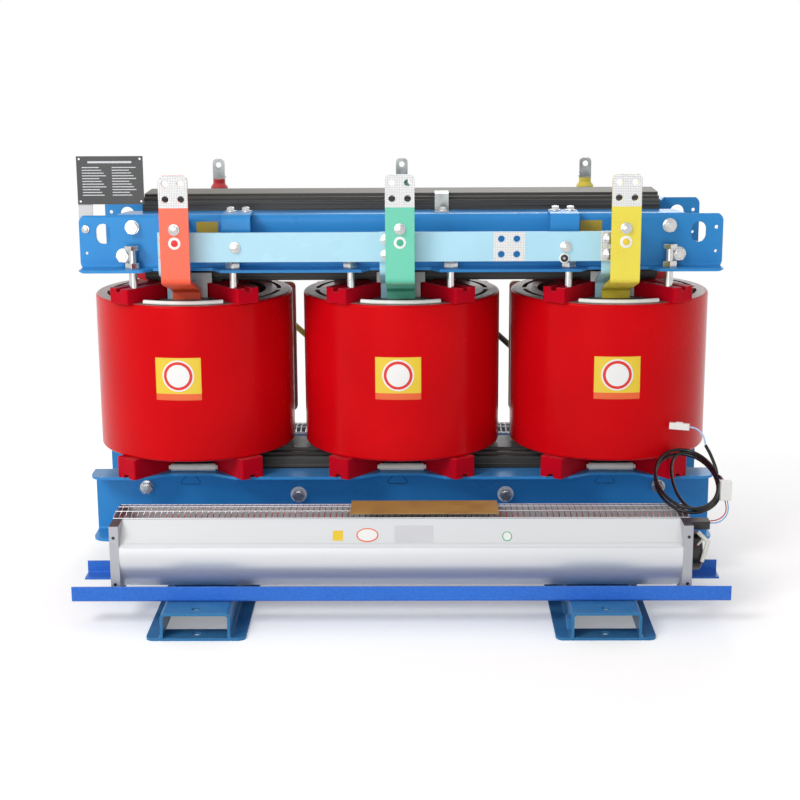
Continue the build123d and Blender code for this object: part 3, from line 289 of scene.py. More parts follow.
class Effects:
    """Shader node groups that several finishes share, each built once."""

    def __init__(self) -> None:
        """Build every group."""
        self.tone = self._tone()
        self.edges = self._edges()
        self.dust = self._dust()
        self.knurl = self._knurl()
        self.rings = self._rings()

    @staticmethod
    def _group(name: str, inputs: dict[str, float], outputs: dict[str, str]) -> tuple:
        """Make an empty group with named sockets.

        Args:
            name: The group's name.
            inputs: Float inputs and their default values.
            outputs: Outputs and their types, Float or Vector.

        Returns:
            The group, its sheet, its inputs to read and its outputs to fill.
        """
        tree = bpy.data.node_groups.new(name, "ShaderNodeTree")
        for label, value in inputs.items():
            kind = "NodeSocketFloat"
            socket = tree.interface.new_socket(name=label, in_out="INPUT", socket_type=kind)
            socket.default_value = value
        for label, kind in outputs.items():
            kind = f"NodeSocket{kind}"
            tree.interface.new_socket(name=label, in_out="OUTPUT", socket_type=kind)
        sheet = Sheet(tree)
        given, out = sheet.add("NodeGroupInput"), sheet.add("NodeGroupOutput")
        return tree, sheet, given.outputs, out.inputs

    def _tone(self) -> bpy.types.NodeTree:
        """Slow changes of tone and fine relief: Tone from 0 to 1, and Height."""
        inputs = {"Scale": 6.0, "Grain": 700.0, "Along": 1.0}
        outputs = {"Tone": "Float", "Height": "Float"}
        tree, sheet, given, out = self._group("tone_and_grain", inputs, outputs)
        x, y, z = sheet.axes(sheet.place())
        pulled = {0: sheet.times(x, given["Along"]), 1: y, 2: z}
        where = sheet.add("ShaderNodeCombineXYZ", pulled).outputs[0]
        slow = {"Vector": where, "Scale": given["Scale"], "Detail": 4.0}
        fine = {"Vector": where, "Scale": given["Grain"], "Detail": 2.0}
        tone = sheet.add("ShaderNodeTexNoise", slow).outputs[0]
        sheet.feed(out["Tone"], sheet.step(tone, 0.3, 0.7))
        sheet.feed(out["Height"], sheet.add("ShaderNodeTexNoise", fine).outputs[0])
        return tree

    def _edges(self) -> bpy.types.NodeTree:
        """Softened edges: a rounded Normal, and a Mask that is 1 along the edges, broken in
        patches, where a lighter colour is painted as an edge highlight.
        """
        outputs = {"Normal": "Vector", "Mask": "Float"}
        tree, sheet, given, out = self._group("soft_edges", {"Radius": 0.001}, outputs)
        bevel = sheet.add("ShaderNodeBevel", {"Radius": given["Radius"]}, samples=4)
        plain = sheet.add("ShaderNodeNewGeometry").outputs["Normal"]
        pair = {0: bevel.outputs[0], 1: plain}
        dot = sheet.add("ShaderNodeVectorMath", pair, operation="DOT_PRODUCT")
        turn = sheet.math("SUBTRACT", 1.0, dot.outputs["Value"])
        broken = sheet.step(sheet.noise(sheet.place(), 90.0, 4.0), 0.35, 0.65)
        sheet.feed(out["Normal"], bevel.outputs[0])
        sheet.feed(out["Mask"], sheet.times(sheet.step(turn, 0.04, 0.22), broken))
        return tree

    def _dust(self) -> bpy.types.NodeTree:
        """Settled dust: a Mask on faces that look up."""
        inputs, outputs = {"Amount": 0.2}, {"Mask": "Float"}
        tree, sheet, given, out = self._group("settled_dust", inputs, outputs)
        up = sheet.step(sheet.facing()[2], 0.6, 1.0)
        patchy = sheet.step(sheet.noise(sheet.place(), 28.0, 6.0), 0.35, 0.75)
        mask = sheet.times(sheet.times(up, patchy), given["Amount"])
        sheet.feed(out["Mask"], mask)
        return tree

    def _knurl(self) -> bpy.types.NodeTree:
        """Pressed waffle of a contact face: Height, and a Pit mask between the points, where shade
        is painted.
        """
        outputs = {"Height": "Float", "Pit": "Float"}
        tree, sheet, given, out = self._group("knurled_contact", {"Pitch": 0.0036}, outputs)
        x, _, z = sheet.axes(sheet.place())
        ridges = []
        for axis in (x, z):
            share = sheet.math("DIVIDE", axis, given["Pitch"])
            ridges.append(sheet.math("PINGPONG", share, 0.5))
        low = sheet.math("MINIMUM", *ridges)
        sheet.feed(out["Height"], sheet.times(low, 2.0))
        sheet.feed(out["Pit"], sheet.step(low, 0.12, 0.02))
        return tree

    def _rings(self) -> bpy.types.NodeTree:
        """Distance from a winding's own axis, and fine rings round it where pale highlights are
        painted.
        """
        inputs = {"Centre": 0.0, "Pitch": 0.002}
        outputs = {"Radius": "Float", "Layer": "Float"}
        tree, sheet, given, out = self._group("winding_rings", inputs, outputs)
        x, y, _ = sheet.axes(sheet.place())
        radius = sheet.reach(sheet.math("SUBTRACT", x, given["Centre"]), y)
        sheet.feed(out["Radius"], radius)
        sheet.feed(out["Layer"], sheet.layers(radius, given["Pitch"]))
        return tree


@dataclass
class Surface:
    """Sockets or values that a finish gives its shader."""

    colour: object
    roughness: object
    metallic: object
    height: object


@dataclass(frozen=True)
class Finish:
    """One plain finish: a base colour with tone, grain, soft edges with a painted edge highlight,
    and dust.
    """

    name: str
    colour: Colour
    roughness: float = 0.35
    metallic: float = 0.0
    coat: float = 0.0
    specular: float = 0.5
    tint: Colour = (1.0, 1.0, 1.0)
    contrast: float = 0.07
    tone_scale: float = 6.0
    grain: float = 700.0
    along: float = 1.0
    relief: float = 0.00004
    edge_radius: float = 0.0012
    edge_light: float = 0.25
    dust: float = 0.10

    def material(self, effects: Effects) -> bpy.types.Material:
        """Return this finish's material, building it the first time.

        Args:
            effects: The shared node groups.

        Returns:
            The material.
        """
        found = bpy.data.materials.get(self.name)
        if found:
            return found
        made = bpy.data.materials.new(self.name)
        sheet = Sheet.blank(made)
        tone = sheet.group(effects.tone, Scale=self.tone_scale, Grain=self.grain, Along=self.along)
        edges = sheet.group(effects.edges, Radius=self.edge_radius)
        dark = tuple(c * (1 - self.contrast) for c in self.colour)
        light = tuple(min(1.0, c * (1 + self.contrast)) for c in self.colour)
        # Painted highlight: the colour lightened by edge_light along the edges.
        edge_highlight = tuple(c + (1 - c) * self.edge_light for c in self.colour)
        colour = sheet.mix(tone["Tone"], dark, light)
        colour = sheet.mix(edges["Mask"], colour, edge_highlight)
        rough = sheet.blend(tone["Tone"], self.roughness * 0.85, min(1.0, self.roughness * 1.2))
        surface = Surface(colour, rough, self.metallic, tone["Height"])
        surface = self.zoned(sheet, effects, surface)
        if self.dust:
            dust = sheet.group(effects.dust, Amount=self.dust)["Mask"]
            surface.colour = sheet.mix(dust, surface.colour, DUST_COLOUR)
            surface.roughness = sheet.blend(dust, surface.roughness, DUST_ROUGHNESS)
        relief = {"Strength": 1.0, "Distance": self.relief}
        relief |= {"Height": surface.height, "Normal": edges["Normal"]}
        looks = {
            "Base Color": surface.colour,
            "Roughness": surface.roughness,
            "Metallic": surface.metallic,
            "Normal": sheet.add("ShaderNodeBump", relief).outputs[0],
            "Coat Weight": self.coat,
            "Coat Roughness": COAT_ROUGHNESS,
            "Specular IOR Level": self.specular,
            "Specular Tint": self.tint,
        }
        shader = sheet.add("ShaderNodeBsdfPrincipled", looks)
        sheet.add("ShaderNodeOutputMaterial", {"Surface": shader.outputs[0]})
        return made

    def zoned(self, sheet: Sheet, effects: Effects, surface: Surface) -> Surface:
        """Change the surface where this finish differs over the piece.

        Args:
            sheet: The material's node tree.
            effects: The shared node groups.
            surface: What the plain finish gives.

        Returns:
            The surface to shade.
        """
        return surface


@dataclass(frozen=True)
class CastResin(Finish):
    """Gloss resin of one winding: red outside, brown-grey on both ends, in the bore and in the
    ducts, with pale rings painted on the ends as highlights.
    """

    centre: float = 0.0
    end_colour: Colour = (0.24, 0.17, 0.15)
    rim_radius: float = 0.2135
    duct_radius: float = 0.2
    layer: float = 0.0045
    top: float = 0.6194
    bottom: float = 0.2806

    def zoned(self, sheet: Sheet, effects: Effects, surface: Surface) -> Surface:
        """Colour both ends, the bore and the ducts brown-grey, with painted highlight rings. See
        Finish.zoned.
        """
        rings = sheet.group(effects.rings, Centre=self.centre, Pitch=self.layer)
        radius, z = rings["Radius"], sheet.axes(sheet.place())[2]
        inside = sheet.step(radius, self.rim_radius + 0.0004, self.rim_radius - 0.0004)
        above = sheet.step(z, self.top - 0.0003, self.top)
        below = sheet.step(z, self.bottom + 0.0003, self.bottom)
        deep = sheet.step(radius, self.duct_radius + 0.0005, self.duct_radius - 0.0005)
        mask = sheet.most(sheet.times(sheet.most(above, below), inside), deep)
        # Painted highlight: pale rings at the layer pitch over the brown-grey.
        pale = tuple(c * 1.35 for c in self.end_colour)
        ends_with_highlight_rings = sheet.mix(rings["Layer"], self.end_colour, pale)
        surface.colour = sheet.mix(mask, surface.colour, ends_with_highlight_rings)
        wave = sheet.noise(sheet.place(), 9.0, 2.0, (1, 1, 0.5))
        surface.height = sheet.math("ADD", surface.height, sheet.times(wave, 14.0))
        return surface


@dataclass(frozen=True)
class FoilWinding(Finish):
    """Dark varnished foil with bright layer edges on the ends."""

    layer: float = 0.0016

    def zoned(self, sheet: Sheet, effects: Effects, surface: Surface) -> Surface:
        """Draw the foil's layers on the ends of all three windings. See Finish.zoned."""
        x, y, _ = sheet.axes(sheet.place())
        nearest = sheet.math("ROUND", sheet.math("DIVIDE", x, COIL_X["a"]))
        across = sheet.math("SUBTRACT", x, sheet.times(nearest, COIL_X["a"]))
        layer = sheet.layers(sheet.reach(across, y), self.layer)
        up = sheet.step(sheet.facing()[2], 0.5, 0.9)
        edge = sheet.times(sheet.step(layer, 0.55, 0.95), up)
        surface.colour = sheet.mix(edge, surface.colour, (0.52, 0.50, 0.47))
        surface.metallic = sheet.times(edge, 0.7)
        return surface


@dataclass(frozen=True)
class Laminations(Finish):
    """Lacquered core sheets: olive-grey on the top edge and near black on the steps."""

    crown: float = 0.8375

    def zoned(self, sheet: Sheet, effects: Effects, surface: Surface) -> Surface:
        """Draw sheet edges along X and tint the yoke's crown. See Finish.zoned."""
        place = sheet.place()
        lines = sheet.noise(place, 620.0, 2.0, (0.004, 1, 1))
        strands = sheet.noise(place, 130.0, 3.0, (0.01, 1, 1))
        crown = sheet.step(sheet.axes(place)[2], self.crown - 0.001, self.crown)
        both = sheet.step(sheet.math("ADD", lines, strands), 0.7, 1.35)
        lacquer = sheet.mix(both, (0.11, 0.104, 0.09), (0.26, 0.245, 0.22))
        steps = sheet.mix(both, (0.012, 0.012, 0.012), (0.110, 0.106, 0.100))
        surface.colour = sheet.mix(crown, steps, lacquer)
        surface.roughness = sheet.blend(crown, sheet.blend(both, 0.22, 0.45), 0.62)
        surface.height = both
        return surface


@dataclass(frozen=True)
class TinnedBar(Finish):
    """Enamelled bar with knurled, tinned contact faces inside a box of X and Z."""

    zones: tuple[tuple[float, float, float, float], ...] = ()
    tin: Colour = (0.74, 0.74, 0.74)
    soft: float = 0.0002

    def zoned(self, sheet: Sheet, effects: Effects, surface: Surface) -> Surface:
        """Tin the front and back faces inside the zones, with painted shade in the knurl's pits.
        See Finish.zoned.
        """
        x, _, z = sheet.axes(sheet.place())
        flat = sheet.step(sheet.math("ABSOLUTE", sheet.facing()[1]), 0.7, 0.9)
        mask = None
        for x_low, x_high, z_low, z_high in self.zones:
            wide = sheet.band(x, x_low, x_high, self.soft)
            box = sheet.times(wide, sheet.band(z, z_low, z_high, self.soft))
            mask = box if mask is None else sheet.most(mask, box)
        mask = sheet.times(mask, flat)
        knurl = sheet.group(effects.knurl, Pitch=0.0034)
        # Painted shade: the tin darkened to 45% in the knurl's pits.
        tinned = sheet.mix(knurl["Pit"], self.tin, tuple(c * 0.45 for c in self.tin))
        surface.colour = sheet.mix(mask, surface.colour, tinned)
        surface.roughness = sheet.blend(mask, surface.roughness, 0.36)
        surface.metallic = sheet.times(mask, 0.85)
        pressed = sheet.times(knurl["Height"], 12.0)
        surface.height = sheet.blend(mask, surface.height, pressed)
        return surface


@dataclass(frozen=True)
class Zinc(Finish):
    """Bright zinc with a faint yellow and blue passivation."""

    white_washers: bool = False
    washer_x: Pair = (0.20, 0.26)
    washer_y: Pair = (0.0990, 0.1032)
    washer_z: Pair = (0.4, 0.3)

    def zoned(self, sheet: Sheet, effects: Effects, surface: Surface) -> Surface:
        """Tint the plating, and leave the core bolts' washers white. See Finish.zoned."""
        place = sheet.place()
        tint = sheet.step(sheet.noise(place, 60.0, 2.0), 0.35, 0.7)
        surface.colour = sheet.mix(sheet.times(tint, 0.35), surface.colour, (0.66, 0.62, 0.50))
        if self.white_washers:
            x, y, z = sheet.axes(place)
            near = sheet.band(sheet.math("ABSOLUTE", x), *self.washer_x, 0.001)
            face = sheet.band(sheet.math("ABSOLUTE", y), *self.washer_y, 0.0001)
            mask = sheet.times(sheet.times(near, face), sheet.step(z, *self.washer_z))
            surface.colour = sheet.mix(mask, surface.colour, (0.90, 0.90, 0.88))
            surface.metallic = sheet.blend(mask, self.metallic, 0.0)
            surface.roughness = sheet.blend(mask, surface.roughness, 0.5)
        return surface


@dataclass(frozen=True)
class Bands(Finish):
    """Pieces of one node that take their colour from where they stand along X."""

    bands: tuple[tuple[float, Colour], ...] = ()

    def zoned(self, sheet: Sheet, effects: Effects, surface: Surface) -> Surface:
        """Change to each band's colour right of its X. See Finish.zoned."""
        x = sheet.axes(sheet.place())[0]
        for start, colour in self.bands:
            share = sheet.step(x, start - 0.01, start + 0.01)
            surface.colour = sheet.mix(share, surface.colour, colour)
        return surface


@dataclass(frozen=True)
class EndSheet(Finish):
    """Folded sheet with its upward faces painted dark as shade, as on the fans' end frames."""

    shaded_top_colour: Colour = (0.04, 0.04, 0.05)

    def zoned(self, sheet: Sheet, effects: Effects, surface: Surface) -> Surface:
        """Paint shade on the faces that look up. See Finish.zoned."""
        up = sheet.step(sheet.facing()[2], 0.7, 0.9)
        # Painted shade on the upward faces.
        surface.colour = sheet.mix(up, surface.colour, self.shaded_top_colour)
        return surface


@dataclass(frozen=True)
class Hammered(Finish):
    """Enamel with the small dimples of a hammer finish, and light specks painted as glints."""

    def zoned(self, sheet: Sheet, effects: Effects, surface: Surface) -> Surface:
        """Paint light specks as glints, and dimple the face under them. See Finish.zoned."""
        glint_and_dimple = sheet.step(sheet.noise(sheet.place(), 260.0, 2.0), 0.40, 0.66)
        # Painted glints: lighter specks over the enamel.
        light = tuple(min(1.0, c * 1.5 + 0.01) for c in self.colour)
        surface.colour = sheet.mix(sheet.times(glint_and_dimple, 0.35), surface.colour, light)
        surface.height = sheet.times(glint_and_dimple, 2.5)
        return surface


BLUE_GLOSS = (0.35, 0.65, 1.0)
RED_GLOSS = (1.0, 0.16, 0.12)


FRAME_BLUE = dict(tint=BLUE_GLOSS, grain=420.0)
RESIN = dict(roughness=0.24, specular=0.25, tint=RED_GLOSS, coat=0.02)
RESIN_RED = (0.600, 0.002, 0.006)
SATIN = dict(roughness=0.3, coat=0.1)
NEUTRAL_BLUE = (0.400, 0.690, 0.830)
PLATED = dict(roughness=0.15, metallic=1.0, contrast=0.14, tone_scale=60.0, dust=0.0)
ZINC_GREY = (0.60, 0.61, 0.63)
POST = dict(roughness=0.28, coat=0.2)
THIN = dict(edge_radius=0.0002, dust=0.0)
FLEX = dict(roughness=0.35, edge_radius=0.0001, dust=0.0)
LABEL = dict(roughness=0.45, contrast=0.03, **THIN)
BRIGHT_LABEL = LABEL | dict(roughness=0.40)


class Paint(Enum):
    """Every finish on the transformer, by the part it is made for."""

    FRAME = Finish(
        "frame_enamel", (0.030, 0.245, 0.600), roughness=0.30, coat=0.06, dust=0.05, **FRAME_BLUE
    )
    FOOT = Hammered("foot_enamel", (0.026, 0.150, 0.330), roughness=0.34, dust=0.05, **FRAME_BLUE)
    RAIL = Hammered("rail_enamel", (0.030, 0.140, 0.560), roughness=0.30, dust=0.04, **FRAME_BLUE)
    COIL_C = CastResin("resin_c", RESIN_RED, centre=COIL_X["c"], **RESIN)
    COIL_B = CastResin("resin_b", RESIN_RED, centre=COIL_X["b"], **RESIN)
    COIL_A = CastResin("resin_a", RESIN_RED, centre=COIL_X["a"], **RESIN)
    FOIL = FoilWinding("foil_winding", (0.045, 0.042, 0.040), roughness=0.30, coat=0.2, dust=0.0)
    CORE = Laminations("core_sheets", (0.03, 0.03, 0.03), specular=0.2, relief=0.00025, dust=0.0)
    BLOCK = Finish(
        "block_resin",
        (0.520, 0.002, 0.014),
        roughness=0.45,
        specular=0.15,
        tint=RED_GLOSS,
        contrast=0.10,
        grain=260.0,
    )
    BAR_C = TinnedBar(
        "bar_enamel_c", (0.880, 0.105, 0.040), zones=((-0.60, -0.30, 0.834, 0.95),), **SATIN
    )
    BAR_B = TinnedBar(
        "bar_enamel_b", (0.120, 0.560, 0.390), zones=((-0.10, 0.10, 0.834, 0.95),), **SATIN
    )
    BAR_A = TinnedBar(
        "bar_enamel_a", (0.820, 0.690, 0.060), zones=((0.30, 0.60, 0.834, 0.95),), **SATIN
    )
    NEUTRAL = TinnedBar(
        "neutral_enamel",
        NEUTRAL_BLUE,
        zones=((0.192, 0.258, 0.70, 0.80), (0.414, 0.50, 0.70, 0.80), (-0.50, -0.442, 0.70, 0.80)),
        **SATIN,
    )
    RISER = Finish("riser_enamel", NEUTRAL_BLUE, **SATIN)
    ZINC = Zinc("zinc_plate", ZINC_GREY, **PLATED)
    TIES = Zinc("zinc_ties", ZINC_GREY, white_washers=True, **PLATED)
    TIN = Finish(
        "tinned_sheet",
        (0.40, 0.42, 0.41),
        roughness=0.36,
        metallic=0.85,
        contrast=0.25,
        tone_scale=60.0,
        dust=0.0,
    )
    BOBBIN = Finish("post_resin", (0.300, 0.030, 0.020), tint=RED_GLOSS, **POST)
    POSTS = Bands(
        "phase_posts",
        (0.50, 0.02, 0.02),
        bands=((-0.20, (0.05, 0.22, 0.14)), (0.20, (0.74, 0.58, 0.05))),
        **POST,
    )
    BOARD = Finish(
        "pressboard",
        (0.80, 0.80, 0.77),
        roughness=0.6,
        contrast=0.05,
        tone_scale=30.0,
        grain=1500.0,
    )
    PANEL = Finish("panel_resin", (0.66, 0.58, 0.42), roughness=0.4, contrast=0.08, tone_scale=18.0)
    BRASS = Finish("brass", (0.78, 0.56, 0.24), roughness=0.28, metallic=1.0)
    ROD = Bands("rod_sleeves", (0.42, 0.34, 0.06), bands=((0.0, (0.03, 0.03, 0.03)),))
    PAD = Finish("dark_packing", (0.03, 0.03, 0.03), roughness=0.7)
    PLATE = Finish("plate_enamel", (0.012, 0.012, 0.013), edge_light=0.35, **SATIN)
    ARM = Finish("arm_paint", (0.55, 0.56, 0.57), roughness=0.4)
    CASING = Finish(
        "casing_sheet",
        (0.70, 0.715, 0.735),
        roughness=0.36,
        metallic=0.55,
        contrast=0.03,
        grain=900.0,
        along=0.01,
        dust=0.0,
    )
    ENDS = EndSheet("end_sheet", (0.420, 0.430, 0.460), roughness=0.45, metallic=0.2, dust=0.0)
    GUARD = Finish(
        "guard_rail", (0.60, 0.60, 0.62), roughness=0.30, metallic=0.8, edge_radius=0.0004, dust=0.0
    )
    WIRE = Finish("guard_wire", (0.10, 0.095, 0.09), roughness=0.5, specular=0.2, **THIN)
    # Painted reflection: the rotor's bright metal painted white and matte, as it shows the pale
    # room.
    ROTOR_REFLECTION = Finish("rotor_painted_reflection", (0.92, 0.92, 0.93), roughness=0.5, dust=0.0)
    MOTOR = Finish("motor_enamel", (0.012, 0.012, 0.012), roughness=0.36, coat=0.1, dust=0.0)
    JACKET = Finish("cable_jacket", (0.004, 0.004, 0.005), roughness=0.24, specular=0.35, **THIN)
    NYLON = Finish("white_nylon", (0.78, 0.78, 0.76), roughness=0.42, dust=0.0)
    SLEEVE = Finish("silicone_sleeve", (0.74, 0.73, 0.66), roughness=0.5, **THIN)
    CORES = Finish("wire_pale", (0.42, 0.55, 0.80), **FLEX)
    WIRE_BLUE = Finish("wire_blue", (0.120, 0.380, 0.720), **FLEX)
    WIRE_RED = Finish("wire_red", (0.480, 0.010, 0.020), **FLEX)
    LABEL_WHITE = Finish("label_white", (0.84, 0.84, 0.83), **LABEL)
    LABEL_OCHRE = Finish("label_ochre", (0.80, 0.56, 0.03), **BRIGHT_LABEL)
    # Painted shade: a darker copy of the ochre labels, for the clamp's plates.
    LABEL_OCHRE_SHADED = Finish("label_ochre_shaded", (0.44, 0.32, 0.03), **BRIGHT_LABEL)
    LABEL_RED = Finish("label_red", (0.72, 0.020, 0.015), **LABEL)
    LABEL_ORANGE = Finish("label_orange", (0.80, 0.120, 0.025), **LABEL)
    LABEL_GREEN = Finish("label_green", (0.05, 0.42, 0.26), **LABEL)
    LABEL_GREY = Finish("label_grey", (0.60, 0.61, 0.64), roughness=0.4, contrast=0.05, **THIN)
    STRIP_TAN = Finish(
        "strip_tan", (0.38, 0.235, 0.065), roughness=0.55, contrast=0.12, tone_scale=25.0, dust=0.0
    )
    # Painted shadow: dark blue for the shaded lines of grooves.
    GROOVE_SHADOW = Finish(
        "groove_shadow", (0.006, 0.040, 0.110), roughness=0.5, edge_radius=0.0001, dust=0.0
    )


# The first row with a stem that is in a node's name gives its finish
NODE_STEMS = (
    (Paint.NYLON, ("lead_plug", "lead_box")),
    (Paint.JACKET, ("lead_",)),
    (Paint.FOOT, ("foot_left", "foot_right")),
    (Paint.FRAME, ("clamp_", "foot_risers", "insulator_brackets", "hv_seats")),
    (Paint.RAIL, ("rail_",)),
    (Paint.PAD, ("core_pads",)),
    (Paint.CORE, ("core_",)),
    (Paint.TIES, ("tie_bolts",)),
    (Paint.ZINC, ("pressure_screws",)),
    (Paint.FOIL, ("lv_coils",)),
    (Paint.COIL_A, ("hv_coil_a",)),
    (Paint.COIL_B, ("hv_coil_b",)),
    (Paint.COIL_C, ("hv_coil_c",)),
    (Paint.BLOCK, ("_blocks",)),
    (Paint.BAR_A, ("lv_bar_a",)),
    (Paint.BAR_B, ("lv_bar_b",)),
    (Paint.BAR_C, ("lv_bar_c",)),
    (Paint.NEUTRAL, ("neutral_bar",)),
    (Paint.RISER, ("neutral_risers",)),
    (Paint.BOARD, ("outlet_boards", "spacer_tubes")),
    (Paint.BOBBIN, ("bus_insulators",)),
    (Paint.PANEL, ("terminal_panels",)),
    (Paint.BRASS, ("tap_studs",)),
    (Paint.POSTS, ("hv_insulators",)),
    (Paint.TIN, ("hv_terminals", "earth_strap")),
    (Paint.ROD, ("hv_links",)),
    (Paint.ARM, ("nameplate_arm",)),
    (Paint.PLATE, ("nameplate",)),
    (Paint.CASING, ("_casing",)),
    (Paint.ENDS, ("_ends",)),
    (Paint.GUARD, ("_guard",)),
    (Paint.ROTOR_REFLECTION, ("_rotor",)),
    (Paint.MOTOR, ("_motor",)),
)


# Shapes


class Shape:
    """One piece while it is made: a bmesh with ways to add plain forms to it."""

    def __init__(self) -> None:
        """Start empty."""
        self.mesh = bmesh.new()

    @staticmethod
    def seat(place: Point, facing: Point) -> Matrix:
        """Return the matrix that stands +Z on a place, along a direction.

        Args:
            place: Where the form's foot goes.
            facing: Which way its own Z points.

        Returns:
            The placing matrix.
        """
        turn = Vector((0, 0, 1)).rotation_difference(Vector(facing).normalized())
        return Matrix.Translation(place) @ turn.to_matrix().to_4x4()

    def thicken(self, faces: list, step: Point) -> None:
        """Extrude flat faces into a closed plate.

        Args:
            faces: The faces, left in place as its underside.
            step: How far its top lies from them.
        """
        grown = bmesh.ops.extrude_face_region(self.mesh, geom=faces, use_keep_orig=True)
        lifted = [v for v in grown["geom"] if isinstance(v, bmesh.types.BMVert)]
        bmesh.ops.translate(self.mesh, verts=lifted, vec=step)

    def _soften(self, faces: list, width: float) -> None:
        """Bevel the outline edges of some faces.

        Args:
            faces: Faces whose edges are rounded.
            width: Bevel width.
        """
        edges = {edge for face in faces for edge in face.edges}
        bmesh.ops.bevel(
            self.mesh,
            geom=list(edges),
            offset=width,
            offset_type="OFFSET",
            segments=2,
            profile=0.5,
            affect="EDGES",
            material=-1,
        )

    def drum(
        self,
        place: Point,
        facing: Point,
        radius: float,
        height: float,
        sides: int,
        soft: float = 0.0,
    ) -> None:
        """Add a closed drum or, with few sides, a prism, standing on a place.

        Args:
            place: Middle of its foot.
            facing: Direction of its axis.
            radius: Outer radius, at the corners.
            height: Length along the axis.
            sides: Number of sides.
            soft: Bevel round its far end.
        """
        move = self.seat(place, facing) @ Matrix.Translation((0, 0, height / 2))
        made = bmesh.ops.create_cone(
            self.mesh,
            cap_ends=True,
            segments=sides,
            radius1=radius,
            radius2=radius,
            depth=height,
            matrix=move,
        )
        if soft:
            axis = Vector(facing).normalized()
            faces = {face for vert in made["verts"] for face in vert.link_faces}
            half_way = move.translation.dot(axis)
            caps = [f for f in faces if len(f.verts) == sides]
            self._soften([f for f in caps if f.calc_center_median().dot(axis) > half_way], soft)

    def slab(self, centre: Point, size: Point) -> None:
        """Add a box.

        Args:
            centre: Middle of the box.
            size: Its length along each axis.
        """
        move = Matrix.Translation(centre) @ Matrix.Diagonal((*size, 1.0))
        bmesh.ops.create_cube(self.mesh, size=1.0, matrix=move)

    def panel(
        self, place: Point, facing: Point, size: Pair, thickness: float, corner: float = 0.0
    ) -> None:
        """Add a thin plate, with rounded corners if corner is given, on a face.

        Args:
            place: Middle of the face that it lies on.
            facing: Outward direction.
            size: Width and height.
            thickness: How far it stands proud.
            corner: Corner radius.
        """
        out = Vector(facing).normalized()
        side = Vector((0, 0, 1)).cross(out).normalized()
        turn = Matrix((side, out.cross(side), out)).transposed().to_4x4()
        scale = Matrix.Diagonal((size[0] / 2, size[1] / 2, 1.0, 1.0))
        move = Matrix.Translation(place) @ turn @ scale
        made = bmesh.ops.create_grid(self.mesh, x_segments=1, y_segments=1, size=1.0, matrix=move)
        verts = made["verts"]
        if corner:
            cut = bmesh.ops.bevel(
                self.mesh,
                geom=verts,
                offset=corner,
                offset_type="OFFSET",
                segments=4,
                profile=0.5,
                affect="VERTICES",
                material=-1,
            )
            face = max({f for v in cut["verts"] for f in v.link_faces}, key=lambda f: f.calc_area())
        else:
            face = verts[0].link_faces[0]
        self.thicken([face], out * thickness)

    def spot(self, place: Point, facing: Point, size: Pair, thickness: float) -> None:
        """Add a thin round or oval plate on a face.

        Args:
            place: Middle of the face that it lies on.
            facing: Outward direction.
            size: Width along X, and the length across it.
            thickness: How far it stands proud.
        """
        out = Vector(facing).normalized()
        turn = Matrix((Vector((1, 0, 0)), out.cross(Vector((1, 0, 0))), out)).transposed().to_4x4()
        scale = Matrix.Diagonal((size[0] / 2, size[1] / 2, 1.0, 1.0))
        move = Matrix.Translation(place) @ turn @ scale
        made = bmesh.ops.create_circle(
            self.mesh, cap_ends=True, segments=40, radius=1.0, matrix=move
        )
        self.thicken(made["verts"][0].link_faces[:], out * thickness)

    def arch(self, x: float, ends: Pair, z: float, rise: float, wire: float) -> list:
        """Add one wire bent up across the guard.

        Args:
            x: Where it stands along the fan.
            ends: Y of its two ends.
            z: Height of its ends.
            rise: Height of its middle over the ends.
            wire: Radius of the wire.

        Returns:
            The wire's own geometry, to copy along the guard.
        """
        before = set(self.mesh.verts)
        half = (ends[1] - ends[0]) / 2
        bend = bow_radius(half, rise)
        turn = 2 * math.asin(half / bend)
        centre = Vector((x, (ends[0] + ends[1]) / 2, z + rise - bend))
        tilt = math.pi / 2 + turn / 2
        seat = Matrix.Translation((x, ends[0], z)) @ Matrix.Rotation(tilt, 4, "X")
        made = bmesh.ops.create_circle(
            self.mesh, cap_ends=True, segments=5, radius=wire, matrix=seat
        )
        face = made["verts"][0].link_faces[0]
        bmesh.ops.spin(
            self.mesh,
            geom=[face],
            cent=centre,
            axis=(-1, 0, 0),
            angle=turn,
            steps=8,
            use_duplicate=False,
        )
        verts = [v for v in self.mesh.verts if v not in before]
        faces = {f for v in verts for f in v.link_faces}
        return verts + list(faces)

    def rod(self, start: Point, end: Point, radius: float, sides: int = 6) -> None:
        """Add a straight closed rod from one point to another.

        Args:
            start: Middle of one end.
            end: Middle of the other end.
            radius: Radius at the corners.
            sides: Number of sides.
        """
        run = Vector(end) - Vector(start)
        self.drum(start, tuple(run), radius, run.length, sides)

    def bolt(self, place: Point, facing: Point, head: float, washer: float) -> None:
        """Add a washer and a head with a chamfered top, and the stud end in its middle.

        Args:
            place: Point on the face under the washer.
            facing: Outward direction.
            head: Radius of the head at its corners.
            washer: Radius of the washer.
        """
        out = Vector(facing).normalized()
        plate = 0.0022
        tall = head * 0.75
        self.drum(place, facing, washer, plate, 28, 0.0005)
        on_washer = Vector(place) + out * plate
        self.drum(tuple(on_washer), facing, head, tall, HEX, head * 0.10)
        on_head = on_washer + out * tall
        self.drum(tuple(on_head), facing, head * 0.45, head * 0.12, 16, head * 0.05)

